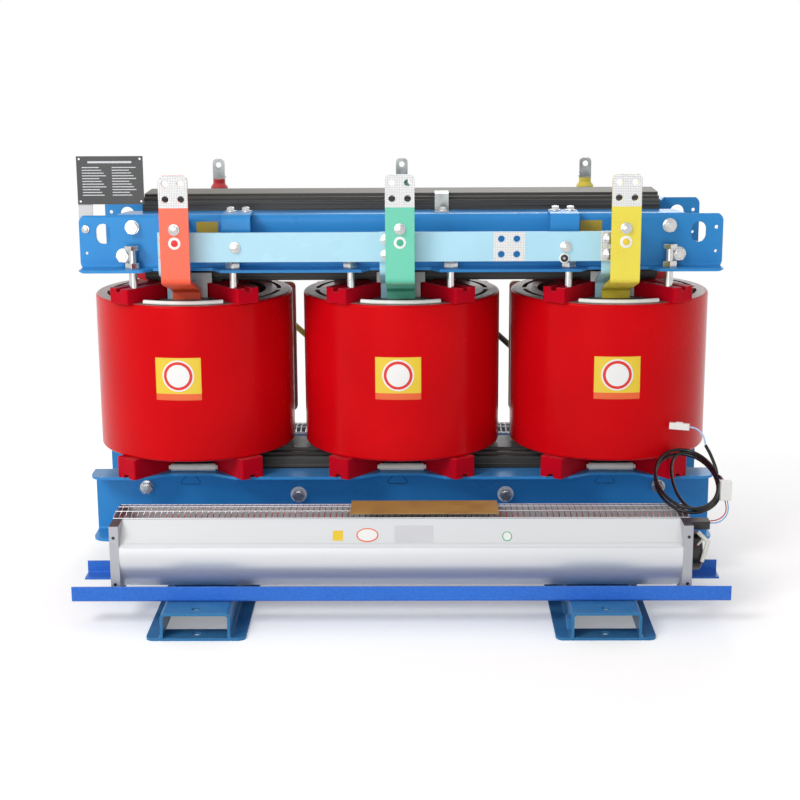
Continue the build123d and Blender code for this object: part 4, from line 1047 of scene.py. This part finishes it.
    def piece(
        self, name: str, paint: Paint, effects: Effects, slot: str, smooth: bool = True
    ) -> bpy.types.Object:
        """Close the mesh and make it a piece that rides on the frame.

        Args:
            name: The piece's name.
            paint: Its finish.
            effects: The shared node groups.
            slot: The record's material slot; not used.
            smooth: Shade it smooth, with sharp edges kept sharp.

        Returns:
            The new object.
        """
        bmesh.ops.remove_doubles(self.mesh, verts=self.mesh.verts[:], dist=0.000002)
        bmesh.ops.recalc_face_normals(self.mesh, faces=self.mesh.faces[:])
        data = bpy.data.meshes.new(name)
        self.mesh.to_mesh(data)
        self.mesh.free()
        if smooth:
            data.shade_smooth()
            data.set_sharp_from_angle(angle=math.radians(38))
        data.materials.append(paint.value.material(effects))
        made = put_in_scene(name, data)
        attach(made, BODY)
        LOG.info("piece %s: %d faces", name, len(data.polygons))
        return made


# Stage


@dataclass
class Studio:
    """Camera at the photograph's angle, pale floor and soft light."""

    lens: float = 74.84
    sensor: float = 36.0
    camera_place: Point = (0.035, -3.654, 1.233)
    pitch_down: float = 13.36
    turn_left: float = 0.55
    roll: float = 0.3
    floor_half: float = 14.0
    fade: Pair = (0.9, 2.6)
    white: Colour = (0.90, 0.90, 0.90)
    room_light: float = 0.54
    floor_glow: float = 0.30
    lamps: tuple[tuple, ...] = (
        ("key", (-2.6, -3.2, 3.4), (0.0, 0.0, 0.4), 1.6, 104.0, (1.0, 0.985, 0.96)),
        ("fill", (-1.1, -4.3, 0.8), (0.0, 0.0, 0.35), 2.4, 44.0, (0.97, 0.985, 1.0)),
        ("back", (0.6, 3.6, 2.8), (0.0, 0.0, 0.5), 2.0, 60.0, (1.0, 1.0, 1.0)),
    )

    def camera(self) -> None:
        """Place the camera and make it the scene's."""
        data = bpy.data.cameras.new("camera")
        data.lens = self.lens
        data.sensor_width = self.sensor
        made = put_in_scene("camera", data)
        made.location = self.camera_place
        turns = (90 - self.pitch_down, self.roll, self.turn_left)
        made.rotation_euler = tuple(math.radians(angle) for angle in turns)
        bpy.context.scene.camera = made

    @staticmethod
    def lamp(name: str, place: Point, aim: Point, size: float, power: float, tint: Colour) -> None:
        """Add a square area lamp.

        Args:
            name: The lamp's name.
            place: Where it hangs.
            aim: Point that it faces.
            size: Side length.
            power: Watts.
            tint: Colour of its light.
        """
        data = bpy.data.lights.new(name, "AREA")
        data.size = size
        data.energy = power
        data.color = tint
        made = put_in_scene(name, data)
        made.location = place
        made.rotation_euler = (Vector(aim) - Vector(place)).to_track_quat("-Z", "Y").to_euler()

    @staticmethod
    def _seen(sheet: Sheet) -> bpy.types.NodeSocket:
        """Return 1 for rays that show the background: camera, gloss and glass."""
        path = sheet.add("ShaderNodeLightPath").outputs
        gloss = sheet.most(path["Is Glossy Ray"], path["Is Transmission Ray"])
        return sheet.most(path["Is Camera Ray"], gloss)

    def world(self) -> None:
        """Light the room evenly, and show it white to the camera and in gloss."""
        world = bpy.data.worlds.new("room")
        sheet = Sheet.blank(world)
        strength = sheet.blend(self._seen(sheet), self.room_light, 1.0)
        background = sheet.add("ShaderNodeBackground", {"Color": (1, 1, 1), "Strength": strength})
        sheet.add("ShaderNodeOutputWorld", {"Surface": background.outputs[0]})
        bpy.context.scene.world = world

    def floor(self) -> None:
        """Lay the pale floor."""
        grid = bmesh.new()
        bmesh.ops.create_grid(grid, x_segments=1, y_segments=1, size=self.floor_half)
        data = bpy.data.meshes.new("floor")
        grid.to_mesh(data)
        grid.free()
        made = put_in_scene("floor", data)
        paint = bpy.data.materials.new("pale_floor")
        sheet = Sheet.blank(paint)
        looks = {
            "Base Color": self.white,
            "Roughness": 0.8,
            "Specular IOR Level": 0.1,
            "Emission Color": self.white,
            "Emission Strength": sheet.times(self._seen(sheet), self.floor_glow),
        }
        shader = sheet.add("ShaderNodeBsdfPrincipled", looks).outputs[0]
        x, y, _ = sheet.axes(sheet.place())
        share = sheet.times(sheet.step(sheet.reach(x, y), *self.fade), self._seen(sheet))
        backdrop = sheet.add("ShaderNodeEmission", {"Color": (1, 1, 1), "Strength": 1.0}).outputs[0]
        both = sheet.add("ShaderNodeMixShader", {0: share, 1: shader, 2: backdrop})
        sheet.add("ShaderNodeOutputMaterial", {"Surface": both.outputs[0]})
        data.materials.append(paint)

    def build(self) -> None:
        """Set up the whole stage."""
        bpy.context.scene.view_settings.view_transform = "Standard"
        self.camera()
        self.world()
        self.floor()
        for lamp in self.lamps:
            self.lamp(*lamp)
        LOG.info("stage ready")


# Sub-assemblies


@dataclass(frozen=True)
class Strand:
    """One cord: its route, size, finish and what it stands for."""

    name: str
    route: Route
    diameter: float
    length: float
    paint: Paint
    slot: str
    replaces: tuple[str, ...]
    far_end: str
    ends_in: tuple[str, ...]
    lay: str


@dataclass
class FanLead:
    """Leads of the front fan: the coiled cable, its cores and plug, and the box's wires."""

    effects: Effects
    middle: Point = (0.5985, -0.292, 0.2575)
    up_lean: Point = (0.0, 0.9496, 0.3135)
    out_lean: Point = (0.0, -0.3135, 0.9496)
    points_a_turn: int = 14
    turns: float = 2.93
    half_wide: float = 0.0655
    half_tall: float = 0.110
    narrow_at: float = 1.5
    narrow_by: float = 0.018
    shorten_by: float = 0.005
    climb_from: float = 2.50
    spread: float = 0.007
    first_out: float = 0.0100
    turn_pitch: float = 0.0055
    last_out: float = 0.0020
    inlet: Route = (
        (0.6645, -0.3511, 0.2711),
        (0.6648, -0.3370, 0.2740),
        (0.6646, -0.3220, 0.2745),
        (0.6640, -0.3080, 0.2725),
        (0.6635, -0.2965, 0.2695),
    )
    tail: Route = (
        (0.6633, -0.2866, 0.2719),
        (0.6608, -0.2786, 0.2854),
        (0.6562, -0.2661, 0.2984),
        (0.6515, -0.2535, 0.3105),
        (0.6453, -0.2408, 0.3212),
    )
    cores: Route = (
        (0.6452, -0.2402, 0.3222),
        (0.6438, -0.2340, 0.3325),
        (0.6400, -0.2260, 0.3425),
        (0.6340, -0.2180, 0.3486),
        (0.6262, -0.2074, 0.3514),
        (0.6177, -0.1995, 0.3510),
    )
    blue: Route = (
        (0.6327, -0.3838, 0.1954),
        (0.6430, -0.3800, 0.1930),
        (0.6550, -0.3750, 0.1935),
        (0.6670, -0.3690, 0.2000),
        (0.6745, -0.3640, 0.2110),
        (0.6755, -0.3605, 0.2240),
        (0.6730, -0.3590, 0.2363),
    )
    red: Route = (
        (0.6328, -0.3856, 0.1998),
        (0.6400, -0.3810, 0.1988),
        (0.6500, -0.3760, 0.1985),
        (0.6620, -0.3710, 0.2030),
        (0.6700, -0.3660, 0.2125),
        (0.6710, -0.3610, 0.2245),
        (0.6680, -0.3580, 0.2363),
    )

    def turn_points(self) -> Route:
        """Return the control points of the loose turns, of which one is narrower."""
        found = []
        for step in range(1, int(self.turns * self.points_a_turn) + 1):
            share = step / self.points_a_turn
            angle = 2 * math.pi * share
            narrow = (1 + math.cos(math.pi * min(1.0, 2 * abs(share - self.narrow_at)))) / 2
            climb = max(0.0, (share - self.climb_from) / (self.turns - self.climb_from))
            wide = self.half_wide - self.narrow_by * narrow + self.spread * climb
            tall = self.half_tall - self.shorten_by * narrow
            across = wide * math.cos(angle) + self.narrow_by * narrow
            out = self.first_out - self.turn_pitch * share + self.last_out * climb
            place = Vector(self.middle) + Vector((1, 0, 0)) * across
            place += Vector(self.up_lean) * tall * math.sin(angle) + Vector(self.out_lean) * out
            found.append(tuple(place))
        return tuple(found)

    def strand(self, strand: Strand) -> None:
        """Args:
            strand: The cord to make.
        """
        data = bpy.data.curves.new(strand.name, "CURVE")
        data.dimensions = "3D"
        data.bevel_depth = strand.diameter / 2
        data.bevel_resolution = 3
        data.resolution_u = 8
        data.use_fill_caps = True
        spline = data.splines.new("NURBS")
        spline.points.add(len(strand.route) - 1)
        for point, place in zip(spline.points, strand.route):
            point.co = (*place, 1.0)
        spline.order_u = 3
        spline.use_endpoint_u = True
        data.materials.append(strand.paint.value.material(self.effects))
        made = put_in_scene(strand.name, data)
        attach(made, BODY)
        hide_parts(*strand.replaces)
        LOG.info("cord %s: %d points", strand.name, len(strand.route))

    def build(self) -> None:
        """Make the cable, its cores and the two wires."""
        coil = self.inlet + self.turn_points() + self.tail
        loops = ("lead_loops", "lead_inlet", "lead_tail")
        cores, blue, red = ("lead_cores",), ("lead_blue_wire",), ("lead_red_wire",)
        paint = (Paint.JACKET, Paint.CORES, Paint.WIRE_BLUE, Paint.WIRE_RED)
        plug = ("plug", ("lead_plug",), "loose")
        box = ("connector", ("lead_box",), "loose")
        free = ("bare", (), "coiled")
        rows = (
            ("lead_cable", coil, 0.0070, 1.72, paint[0], "cable_black", loops, *free),
            ("core_pair", self.cores, 0.0040, 0.062, paint[1], "core_wires", cores, *plug),
            ("wire_blue", self.blue, 0.0024, 0.078, paint[2], "neutral_blue", blue, *box),
            ("wire_red", self.red, 0.0024, 0.072, paint[3], "bar_red", red, *box),
        )
        for row in rows:
            self.strand(Strand(*row))


@dataclass(frozen=True)
class Disc:
    """Size of a closed disc: its radius, height, sides and rounding."""

    radius: float
    height: float
    sides: int
    soft: float = 0.0


@dataclass
class Trim:
    """A set of small pieces, with short ways to make the kinds that repeat."""

    effects: Effects

    def bolts(self, name: str, places: list[Point], axis: Axis, size: Pair) -> None:
        """Make one zinc-plated piece of equal bolts.

        Args:
            name: The piece's name.
            places: Points on the face under each washer.
            axis: Direction that the heads face.
            size: Radius of the heads and of the washers.
        """
        shape = Shape()
        for place in places:
            shape.bolt(place, axis.value, *size)
        shape.piece(name, Paint.ZINC, self.effects, "zinc")

    def discs(self, name: str, places: list[Point], size: Disc, paint: Paint, slot: str) -> None:
        """Make one piece of equal discs that face forward.

        Args:
            name: The piece's name.
            places: Point on the face under each disc.
            size: Their size.
            paint: Their finish.
            slot: The record's material slot.
        """
        shape = Shape()
        for place in places:
            front = Axis.FRONT.value
            shape.drum(place, front, size.radius, size.height, size.sides, size.soft)
        shape.piece(name, paint, self.effects, slot)


@dataclass
class BarFittings(Trim):
    """Bolts, bare discs and caps on the terminal bars and the neutral bar."""

    bolt: Pair = (0.0088, 0.0118)
    bolt_z: float = 0.790
    disc_z: float = 0.762
    back: Disc = Disc(0.0125, 0.0008, 32, 0.0003)
    dot: Disc = Disc(0.0072, 0.0006, 28, 0.0002)
    dots: tuple[tuple[str, Paint, str], ...] = (
        ("c", Paint.LABEL_RED, "bar_red"),
        ("b", Paint.LABEL_GREEN, "bar_green"),
        ("a", Paint.LABEL_OCHRE, "bar_yellow"),
    )
    neutral_bolts: Pair = (-0.342, 0.342)
    joint_pitch: float = 0.032
    riser_offset: float = -0.013
    test_point: Pair = (0.339, 0.7225)
    test_discs: tuple[tuple[str, Disc, Paint, str], ...] = (
        ("test_point_rim", Disc(0.0105, 0.004, 28, 0.001), Paint.LABEL_WHITE, "board_white"),
        ("test_point_cap", Disc(0.0078, 0.0016, 24, 0.0004), Paint.MOTOR, "rod_black"),
        ("test_point_pin", Disc(0.0022, 0.0008, 16), Paint.ZINC, "zinc"),
    )
    bracket_y: float = -0.149

    def bars(self) -> None:
        """Bolt the terminal bars to their posts, with a two-colour disc under each bolt."""
        faces = {phase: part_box(f"lv_bar_{phase}")[0].y for phase in COIL_X}
        heads = [(x, faces[phase], self.bolt_z) for phase, x in COIL_X.items()]
        backs = [(x, faces[phase], self.disc_z) for phase, x in COIL_X.items()]
        self.bolts("bar_bolts", heads, Axis.FRONT, self.bolt)
        self.discs("disc_backs", backs, self.back, Paint.LABEL_WHITE, "board_white")
        for phase, paint, slot in self.dots:
            place = (COIL_X[phase], faces[phase] - self.back.height, self.disc_z)
            self.discs(f"disc_dot_{phase}", [place], self.dot, paint, slot)

    def neutral(self) -> None:
        """Bolt the neutral bar to its posts and risers, and cap its test point."""
        low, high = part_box("neutral_bar")
        middle = (low.z + high.z) / 2
        half = self.joint_pitch / 2
        heads = [(x, low.y, middle) for x in self.neutral_bolts]
        for x in COIL_X.values():
            for side in (-half, half):
                for level in (-half, half):
                    heads.append((x + self.riser_offset + side, low.y, middle + level))
        self.bolts("neutral_bolts", heads, Axis.FRONT, self.bolt)
        y = low.y
        for name, size, paint, slot in self.test_discs:
            self.discs(name, [(self.test_point[0], y, self.test_point[1])], size, paint, slot)
            y -= size.height

    def build(self) -> None:
        """Make every fitting, down to the bolts of the folded brackets."""
        self.bars()
        self.neutral()
        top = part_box("insulator_brackets")[1].z
        half = self.joint_pitch / 2
        middles = [x + side for x in self.neutral_bolts for side in (-half, half)]
        feet = [(x, self.bracket_y, top) for x in middles]
        self.bolts("bracket_bolts", feet, Axis.UP, self.bolt)


@dataclass
class Stickers(Trim):
    """Bare, generic panels where the transformer carries labels."""

    coil_radius: float = 0.217
    thick: float = 0.0004
    disc_z: float = 0.470
    gap: float = 0.0002
    steps: int = 16
    offsets: tuple[tuple[str, float], ...] = (("c", -0.0125), ("b", -0.006), ("a", -0.0025))
    panel: Pair = (0.098, 0.078)
    band: Pair = (0.098, 0.014)
    band_z: float = 0.424
    plate_gap: float = 0.004
    clamp_x: Pair = (0.402, -0.408)
    clamp_z: float = 0.775
    clamp_panel: Pair = (0.046, 0.030)
    discs: tuple[tuple[str, float, Paint], ...] = (
        ("margin", 0.0680, Paint.LABEL_WHITE),
        ("ring", 0.0612, Paint.LABEL_RED),
        ("centre", 0.0490, Paint.LABEL_WHITE),
    )

    def wrapped(
        self, name: str, phase: str, paint: Paint, size: Pair, z: float, layer: int = 0
    ) -> None:
        """Lay a thin panel or disc on a coil's front and wrap it round the curve.

        Args:
            name: The piece's name.
            phase: Which coil it lies on.
            paint: Its finish.
            size: Width along the curve, and height; a height of 0 makes a disc.
            z: Middle height.
            layer: How many panels lie under it.
        """
        shape = Shape()
        radius = self.coil_radius + (self.gap + layer * self.thick)
        if size[1]:
            scale = Matrix.Diagonal((size[0] / 2, size[1] / 2, 1, 1))
            bmesh.ops.create_grid(
                shape.mesh, x_segments=self.steps, y_segments=1, size=1.0, matrix=scale
            )
        else:
            bmesh.ops.create_circle(shape.mesh, cap_ends=True, segments=40, radius=size[0] / 2)
            for cut in range(1, self.steps):
                geom = shape.mesh.verts[:] + shape.mesh.edges[:] + shape.mesh.faces[:]
                place = (size[0] * (cut / self.steps - 0.5), 0, 0)
                bmesh.ops.bisect_plane(
                    shape.mesh, geom=geom, plane_co=place, plane_no=(1, 0, 0), dist=0.00001
                )
        shape.thicken(shape.mesh.faces[:], (0, 0, self.thick))
        for vert in shape.mesh.verts:
            angle = (vert.co.x + dict(self.offsets)[phase]) / radius
            reach = radius + vert.co.z
            x = COIL_X[phase] + reach * math.sin(angle)
            vert.co = Vector((x, -reach * math.cos(angle), z + vert.co.y))
        shape.piece(f"{name}_{phase}", paint, self.effects, "board_white", smooth=False)

    def clamp_panels(self) -> None:
        """Two small ochre plates on the front clamp's web, painted darker as they lie in shade."""
        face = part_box("nameplate")[0].y - self.plate_gap
        shape = Shape()
        for x in self.clamp_x:
            place = (x, face, self.clamp_z)
            shape.panel(place, Axis.FRONT.value, self.clamp_panel, 0.0006, 0.001)
        shape.piece("clamp_panels", Paint.LABEL_OCHRE_SHADED, self.effects, "bar_yellow")

    def build(self) -> None:
        """Make every sticker."""
        for phase in COIL_X:
            self.wrapped("coil_panel", phase, Paint.LABEL_OCHRE, self.panel, self.disc_z)
            self.wrapped("coil_band", phase, Paint.LABEL_ORANGE, self.band, self.band_z)
            for layer, (name, across, paint) in enumerate(self.discs, 1):
                self.wrapped(f"panel_{name}", phase, paint, (across, 0.0), self.disc_z, layer)
        self.clamp_panels()


@dataclass
class Nameplate(Trim):
    """Rivets and blank bars on the black plate."""

    inset: float = 0.006
    rivet: Disc = Disc(0.0026, 0.0012, 16, 0.0005)
    thick: float = 0.0003
    title: tuple[float, float, float] = (0.66, 0.0042, 0.0125)
    margin: float = 0.034
    first_row: float = 0.0235
    pitch: float = 0.0058
    bar: float = 0.0019
    columns: Pair = (0.08, 0.53)
    reach: float = 0.36

    def build(self) -> None:
        """Make the rivets, the title's bar and two columns of short bars."""
        low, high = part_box("nameplate")
        sides = (low.x + self.inset, high.x - self.inset)
        levels = (low.z + self.inset, high.z - self.inset)
        corners = [(x, low.y, z) for x in sides for z in levels]
        self.discs("plate_rivets", corners, self.rivet, Paint.ZINC, "zinc")
        shape = Shape()
        width = high.x - low.x
        y = low.y - self.thick / 2
        share, tall, down = self.title
        shape.slab((low.x + width / 2, y, high.z - down), (width * share, self.thick, tall))
        for row in range(int((high.z - low.z - self.margin) / self.pitch)):
            z = high.z - self.first_row - row * self.pitch
            for column, start in enumerate(self.columns):
                share = 0.72 + 0.28 * ((row * 5 + column * 3) % 4) / 3
                length = width * self.reach * share
                x = low.x + width * start + length / 2
                shape.slab((x, y, z), (length, self.thick, self.bar))
        shape.piece("plate_bars", Paint.LABEL_GREY, self.effects, "arm_grey", smooth=False)


@dataclass
class FanTrim(Trim):
    """Guards, seams, bare labels and small fittings of both fans."""

    pitch: float = 0.012
    wire: float = 0.0009
    rise: float = 0.006
    rails: int = 4
    rail: float = 0.0013
    sticker: float = 0.0004
    end_gap: float = 0.001
    seam_at: float = 0.925
    seam_size: Pair = (0.0095, 0.0011)
    lines_at: Pair = (0.855, 0.995)
    line_size: Pair = (0.0011, 0.0006)
    hole_inset: float = 0.0085
    hole_z: Pair = (0.187, 0.088)
    strip_place: Point = (0.0485, -0.3495, 0.0084)
    strip_size: Point = (0.305, 0.093, 0.0010)
    thick_sleeve: Route = (
        (0.604, -0.421, 0.1878),
        (0.625, -0.424, 0.1672),
        (0.6137, -0.424, 0.1255),
    )
    thin_sleeve: Route = ((0.6178, -0.4205, 0.1746), (0.6045, -0.4205, 0.1598))
    sleeve_radii: Pair = (0.0044, 0.0024)
    tip_radii: Pair = (0.0016, 0.0012)
    tip: float = 0.004
    slope_top: Pair = (0.3970, 0.20975)
    slope_foot: Pair = (0.45075, 0.16400)
    slope_out: Pair = (0.648, 0.7615)
    skin: float = 0.00125

    def on_slope(self, x: float, share: float, side: float) -> tuple[Point, Point]:
        """Return a point on a casing's slope, and the direction that it faces.

        Args:
            x: Place along the fan.
            share: 0 at the lip and 1 at the seam.
            side: -1 for the front fan and 1 for the rear one.

        Returns:
            The point and the outward direction.
        """
        rows = zip(self.slope_top, self.slope_foot, self.slope_out)
        y, z = (a + (b - a) * share + self.skin * n for a, b, n in rows)
        return (x, side * y, z), (0.0, side * self.slope_out[0], self.slope_out[1])

    def guard(self, name: str) -> None:
        """Arched cross wires between straight rails, in place of the plain grille.

        Args:
            name: Which fan it covers.
        """
        low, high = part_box(f"fan_{name}_guard")
        z = low.z + self.wire
        inner = (low.y + self.wire, high.y - self.wire)
        wires = Shape()
        span = high.x - low.x - 2 * self.wire
        count = round(span / self.pitch)
        step = span / count
        first = wires.arch(low.x + self.wire, inner, z, self.rise, self.wire)
        for wire in range(1, count + 1):
            copy = bmesh.ops.duplicate(wires.mesh, geom=first)["geom"]
            verts = [v for v in copy if isinstance(v, bmesh.types.BMVert)]
            bmesh.ops.translate(wires.mesh, verts=verts, vec=(wire * step, 0, 0))
        made = wires.piece(f"guard_wires_{name}", Paint.WIRE, self.effects, "guard_wire")
        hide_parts(f"fan_{name}_guard")
        bend = bow_radius((inner[1] - inner[0]) / 2, self.rise)
        middle = (inner[0] + inner[1]) / 2
        rails = Shape()
        for rail in range(self.rails):
            y = inner[0] + (inner[1] - inner[0]) * rail / (self.rails - 1)
            lift = math.sqrt(bend**2 - (y - middle) ** 2) - (bend - self.rise)
            rails.rod((low.x, y, z + lift), (high.x, y, z + lift), self.rail, 8)
        rails.piece(f"guard_rails_{name}", Paint.GUARD, self.effects, "guard_wire")

    def seam(self, name: str, side: float) -> None:
        """Folded seam and its two shadow lines along a casing.

        Args:
            name: Which fan it belongs to.
            side: -1 for the front fan and 1 for the rear one.
        """
        low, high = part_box(f"fan_{name}_casing")
        length = high.x - low.x - 2 * self.end_gap
        middle = (low.x + high.x) / 2
        shape = Shape()
        wide, thick = self.seam_size
        shape.panel(*self.on_slope(middle, self.seam_at, side), (length, wide), thick)
        shape.piece(f"casing_seam_{name}", Paint.CASING, self.effects, "casing")
        lines = Shape()
        wide, thick = self.line_size
        for share in self.lines_at:
            lines.panel(*self.on_slope(middle, share, side), (length, wide), thick)
        lines.piece(f"seam_lines_{name}", Paint.LABEL_GREY, self.effects, "casing", smooth=False)

    def end_hole_shades(self, name: str, side: float) -> None:
        """Black discs painted as the shade in the holes of the end frames' faces.

        Args:
            name: Which fan it belongs to.
            side: -1 for the front fan and 1 for the rear one.
        """
        low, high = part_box(f"fan_{name}_ends")
        face = low.y if side < 0 else high.y
        shape = Shape()
        for x in (low.x + self.hole_inset, high.x - self.hole_inset):
            for z in self.hole_z:
                shape.drum((x, face, z), (0.0, side, 0.0), 0.0034, 0.0003, 20)
        shape.piece(f"end_hole_shades_{name}", Paint.PLATE, self.effects, "plate_black")

    def labels(self) -> None:
        """Bare shapes where the front casing is labelled."""
        rows = (
            ("fan_label_ochre", -0.1277, 0.586, (0.021, 0.024), False, 0.0, Paint.LABEL_OCHRE),
            ("fan_label_grey", 0.0269, 0.535, (0.079, 0.040), False, 0.0, Paint.LABEL_GREY),
            ("fan_oval_rim", -0.0677, 0.569, (0.045, 0.033), True, 0.0, Paint.LABEL_ORANGE),
            ("fan_oval", -0.0677, 0.569, (0.040, 0.028), True, 0.0002, Paint.LABEL_WHITE),
            ("fan_disc_rim", 0.2160, 0.620, (0.020, 0.023), True, 0.0, Paint.LABEL_GREEN),
            ("fan_disc", 0.2160, 0.620, (0.016, 0.019), True, 0.0002, Paint.LABEL_WHITE),
        )
        for name, x, share, size, round_, lift, paint in rows:
            place, facing = self.on_slope(x, share, FRONT)
            place = tuple(Vector(place) + Vector(facing) * lift)
            shape = Shape()
            if round_:
                shape.spot(place, facing, size, self.sticker)
            else:
                shape.panel(place, facing, size, self.sticker, 0.001)
            shape.piece(name, paint, self.effects, "board_white")

    def strip(self) -> None:
        """Plain tan strip tied on the guard."""
        x, y, lift = self.strip_place
        shape = Shape()
        shape.slab((x, y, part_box("fan_front_guard")[0].z + lift), self.strip_size)
        shape.piece("guard_strip", Paint.STRIP_TAN, self.effects, "resin_beige")

    def sleeves(self) -> None:
        """Two short sleeved tails that hang in front of the motor."""
        shape, tips = Shape(), Shape()
        routes = (self.thick_sleeve, self.thin_sleeve)
        for radius, tip, points in zip(self.sleeve_radii, self.tip_radii, routes):
            for start, end in zip(points[:-1], points[1:]):
                shape.rod(start, end, radius, 14)
            run = (Vector(end) - Vector(start)).normalized()
            tips.rod(end, tuple(Vector(end) + run * self.tip), tip, 10)
        bmesh.ops.create_uvsphere(
            shape.mesh,
            u_segments=14,
            v_segments=8,
            radius=self.sleeve_radii[0],
            matrix=Matrix.Translation(self.thick_sleeve[1]),
        )
        shape.piece("motor_sleeves", Paint.SLEEVE, self.effects, "board_white")
        tips.piece("sleeve_tips", Paint.WIRE_RED, self.effects, "bar_red")

    def build(self) -> None:
        """Make all the trim."""
        for side, name in ((FRONT, "front"), (REAR, "rear")):
            self.guard(name)
            self.seam(name, side)
            self.end_hole_shades(name, side)
        self.labels()
        self.strip()
        self.sleeves()


@dataclass
class ClampTrim(Trim):
    """Small bolts, and dark lines painted as groove shadows on the clamping frames."""

    groove_face: float = -0.1003
    groove_offset: float = -0.010
    groove_radius: float = 0.0006
    groove: tuple[Pair, ...] = (
        (-0.006, 0.232),
        (-0.006, 0.221),
        (-0.022, 0.203),
        (-0.019, 0.198),
        (0.019, 0.198),
        (0.022, 0.203),
        (0.006, 0.221),
        (0.006, 0.232),
    )
    arm_bolt: Point = (-0.666, -0.155, 0.775)
    screw_place: Pair = (0.106, 0.174)
    plate: float = 0.006
    heads_up: Pair = (0.025, 0.039)
    outer_from: float = 0.5
    shank: float = 0.0090
    shank_sides: int = 18
    nut: Disc = Disc(0.0168, 0.013, HEX, 0.0012)
    head: Disc = Disc(0.0168, 0.010, HEX, 0.0014)
    tabs: Route = ((-0.425, 0.241, 0.004), (0.0, 0.241, 0.004), (0.425, 0.241, 0.004))
    strap_bolt: Point = (0.090, 0.014, 0.002)

    def groove_shadows(self) -> None:
        """Dark rods painted as the shadow of a shallow trapezoid groove on the lower web under each
        coil.
        """
        shape = Shape()
        for x in COIL_X.values():
            middle = x + self.groove_offset
            points = [(middle + across, self.groove_face, z) for across, z in self.groove]
            for start, end in zip(points[:-1], points[1:]):
                shape.rod(start, end, self.groove_radius, 4)
        shape.piece("web_groove_shadows", Paint.GROOVE_SHADOW, self.effects, "frame_blue", smooth=False)

    def screws(self) -> None:
        """Pressure screws at their full thickness, in place of the plain ones."""
        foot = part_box("pressure_screws")[0].z
        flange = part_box("clamp_upper_front")[0].z + self.plate
        up = Axis.UP.value
        short, tall = self.heads_up
        shape = Shape()
        for middle in COIL_X.values():
            for x in (middle - self.screw_place[0], middle + self.screw_place[0]):
                top = flange + (tall if abs(x) > self.outer_from else short)
                for y in (-self.screw_place[1], self.screw_place[1]):
                    shape.rod((x, y, foot), (x, y, top), self.shank, self.shank_sides)
                    for size, z in ((self.nut, flange), (self.head, top)):
                        shape.drum((x, y, z), up, size.radius, size.height, size.sides, size.soft)
        made = shape.piece("screws", Paint.ZINC, self.effects, "zinc")
        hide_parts("pressure_screws")

    def top_bolts(self) -> None:
        """Bolt the high-voltage tabs and the yoke's strap down."""
        shape = Shape()
        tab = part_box("hv_terminals")[0].z
        for x, y, lift in self.tabs:
            shape.bolt((x, y, tab + lift), Axis.UP.value, 0.0080, 0.0105)
        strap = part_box("earth_strap")[0]
        x, inset, lift = self.strap_bolt
        shape.bolt((x, strap.y + inset, strap.z + lift), Axis.UP.value, 0.0075, 0.0105)
        shape.piece("top_bolts", Paint.ZINC, self.effects, "zinc")

    def build(self) -> None:
        """Make all the trim."""
        self.groove_shadows()
        self.bolts("arm_bolt", [self.arm_bolt], Axis.FRONT, (0.0058, 0.0085))
        self.screws()
        self.top_bolts()


def dress_frame(nodes: dict[str, bpy.types.Object], effects: Effects) -> None:
    """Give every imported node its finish.

    Args:
        nodes: The frame's objects by name.
        effects: The shared node groups.
    """
    for name, node in nodes.items():
        paint = next(p for p, stems in NODE_STEMS if any(stem in name for stem in stems))
        material = paint.value.material(effects)
        if not node.material_slots:
            node.data.materials.append(material)
        for held in node.material_slots:
            held.material = material
        LOG.info("node %s: %s", name, material.name)


def main() -> None:
    """Build the dressed transformer in its studio."""
    logging.basicConfig(level=logging.INFO, format="%(message)s")
    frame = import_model()
    Studio().build()
    effects = Effects()
    FanLead(effects).build()
    dress_frame(frame["nodes"], effects)
    for trim in (BarFittings, Stickers, Nameplate, FanTrim, ClampTrim):
        trim(effects).build()


if __name__ == "__main__":
    main()
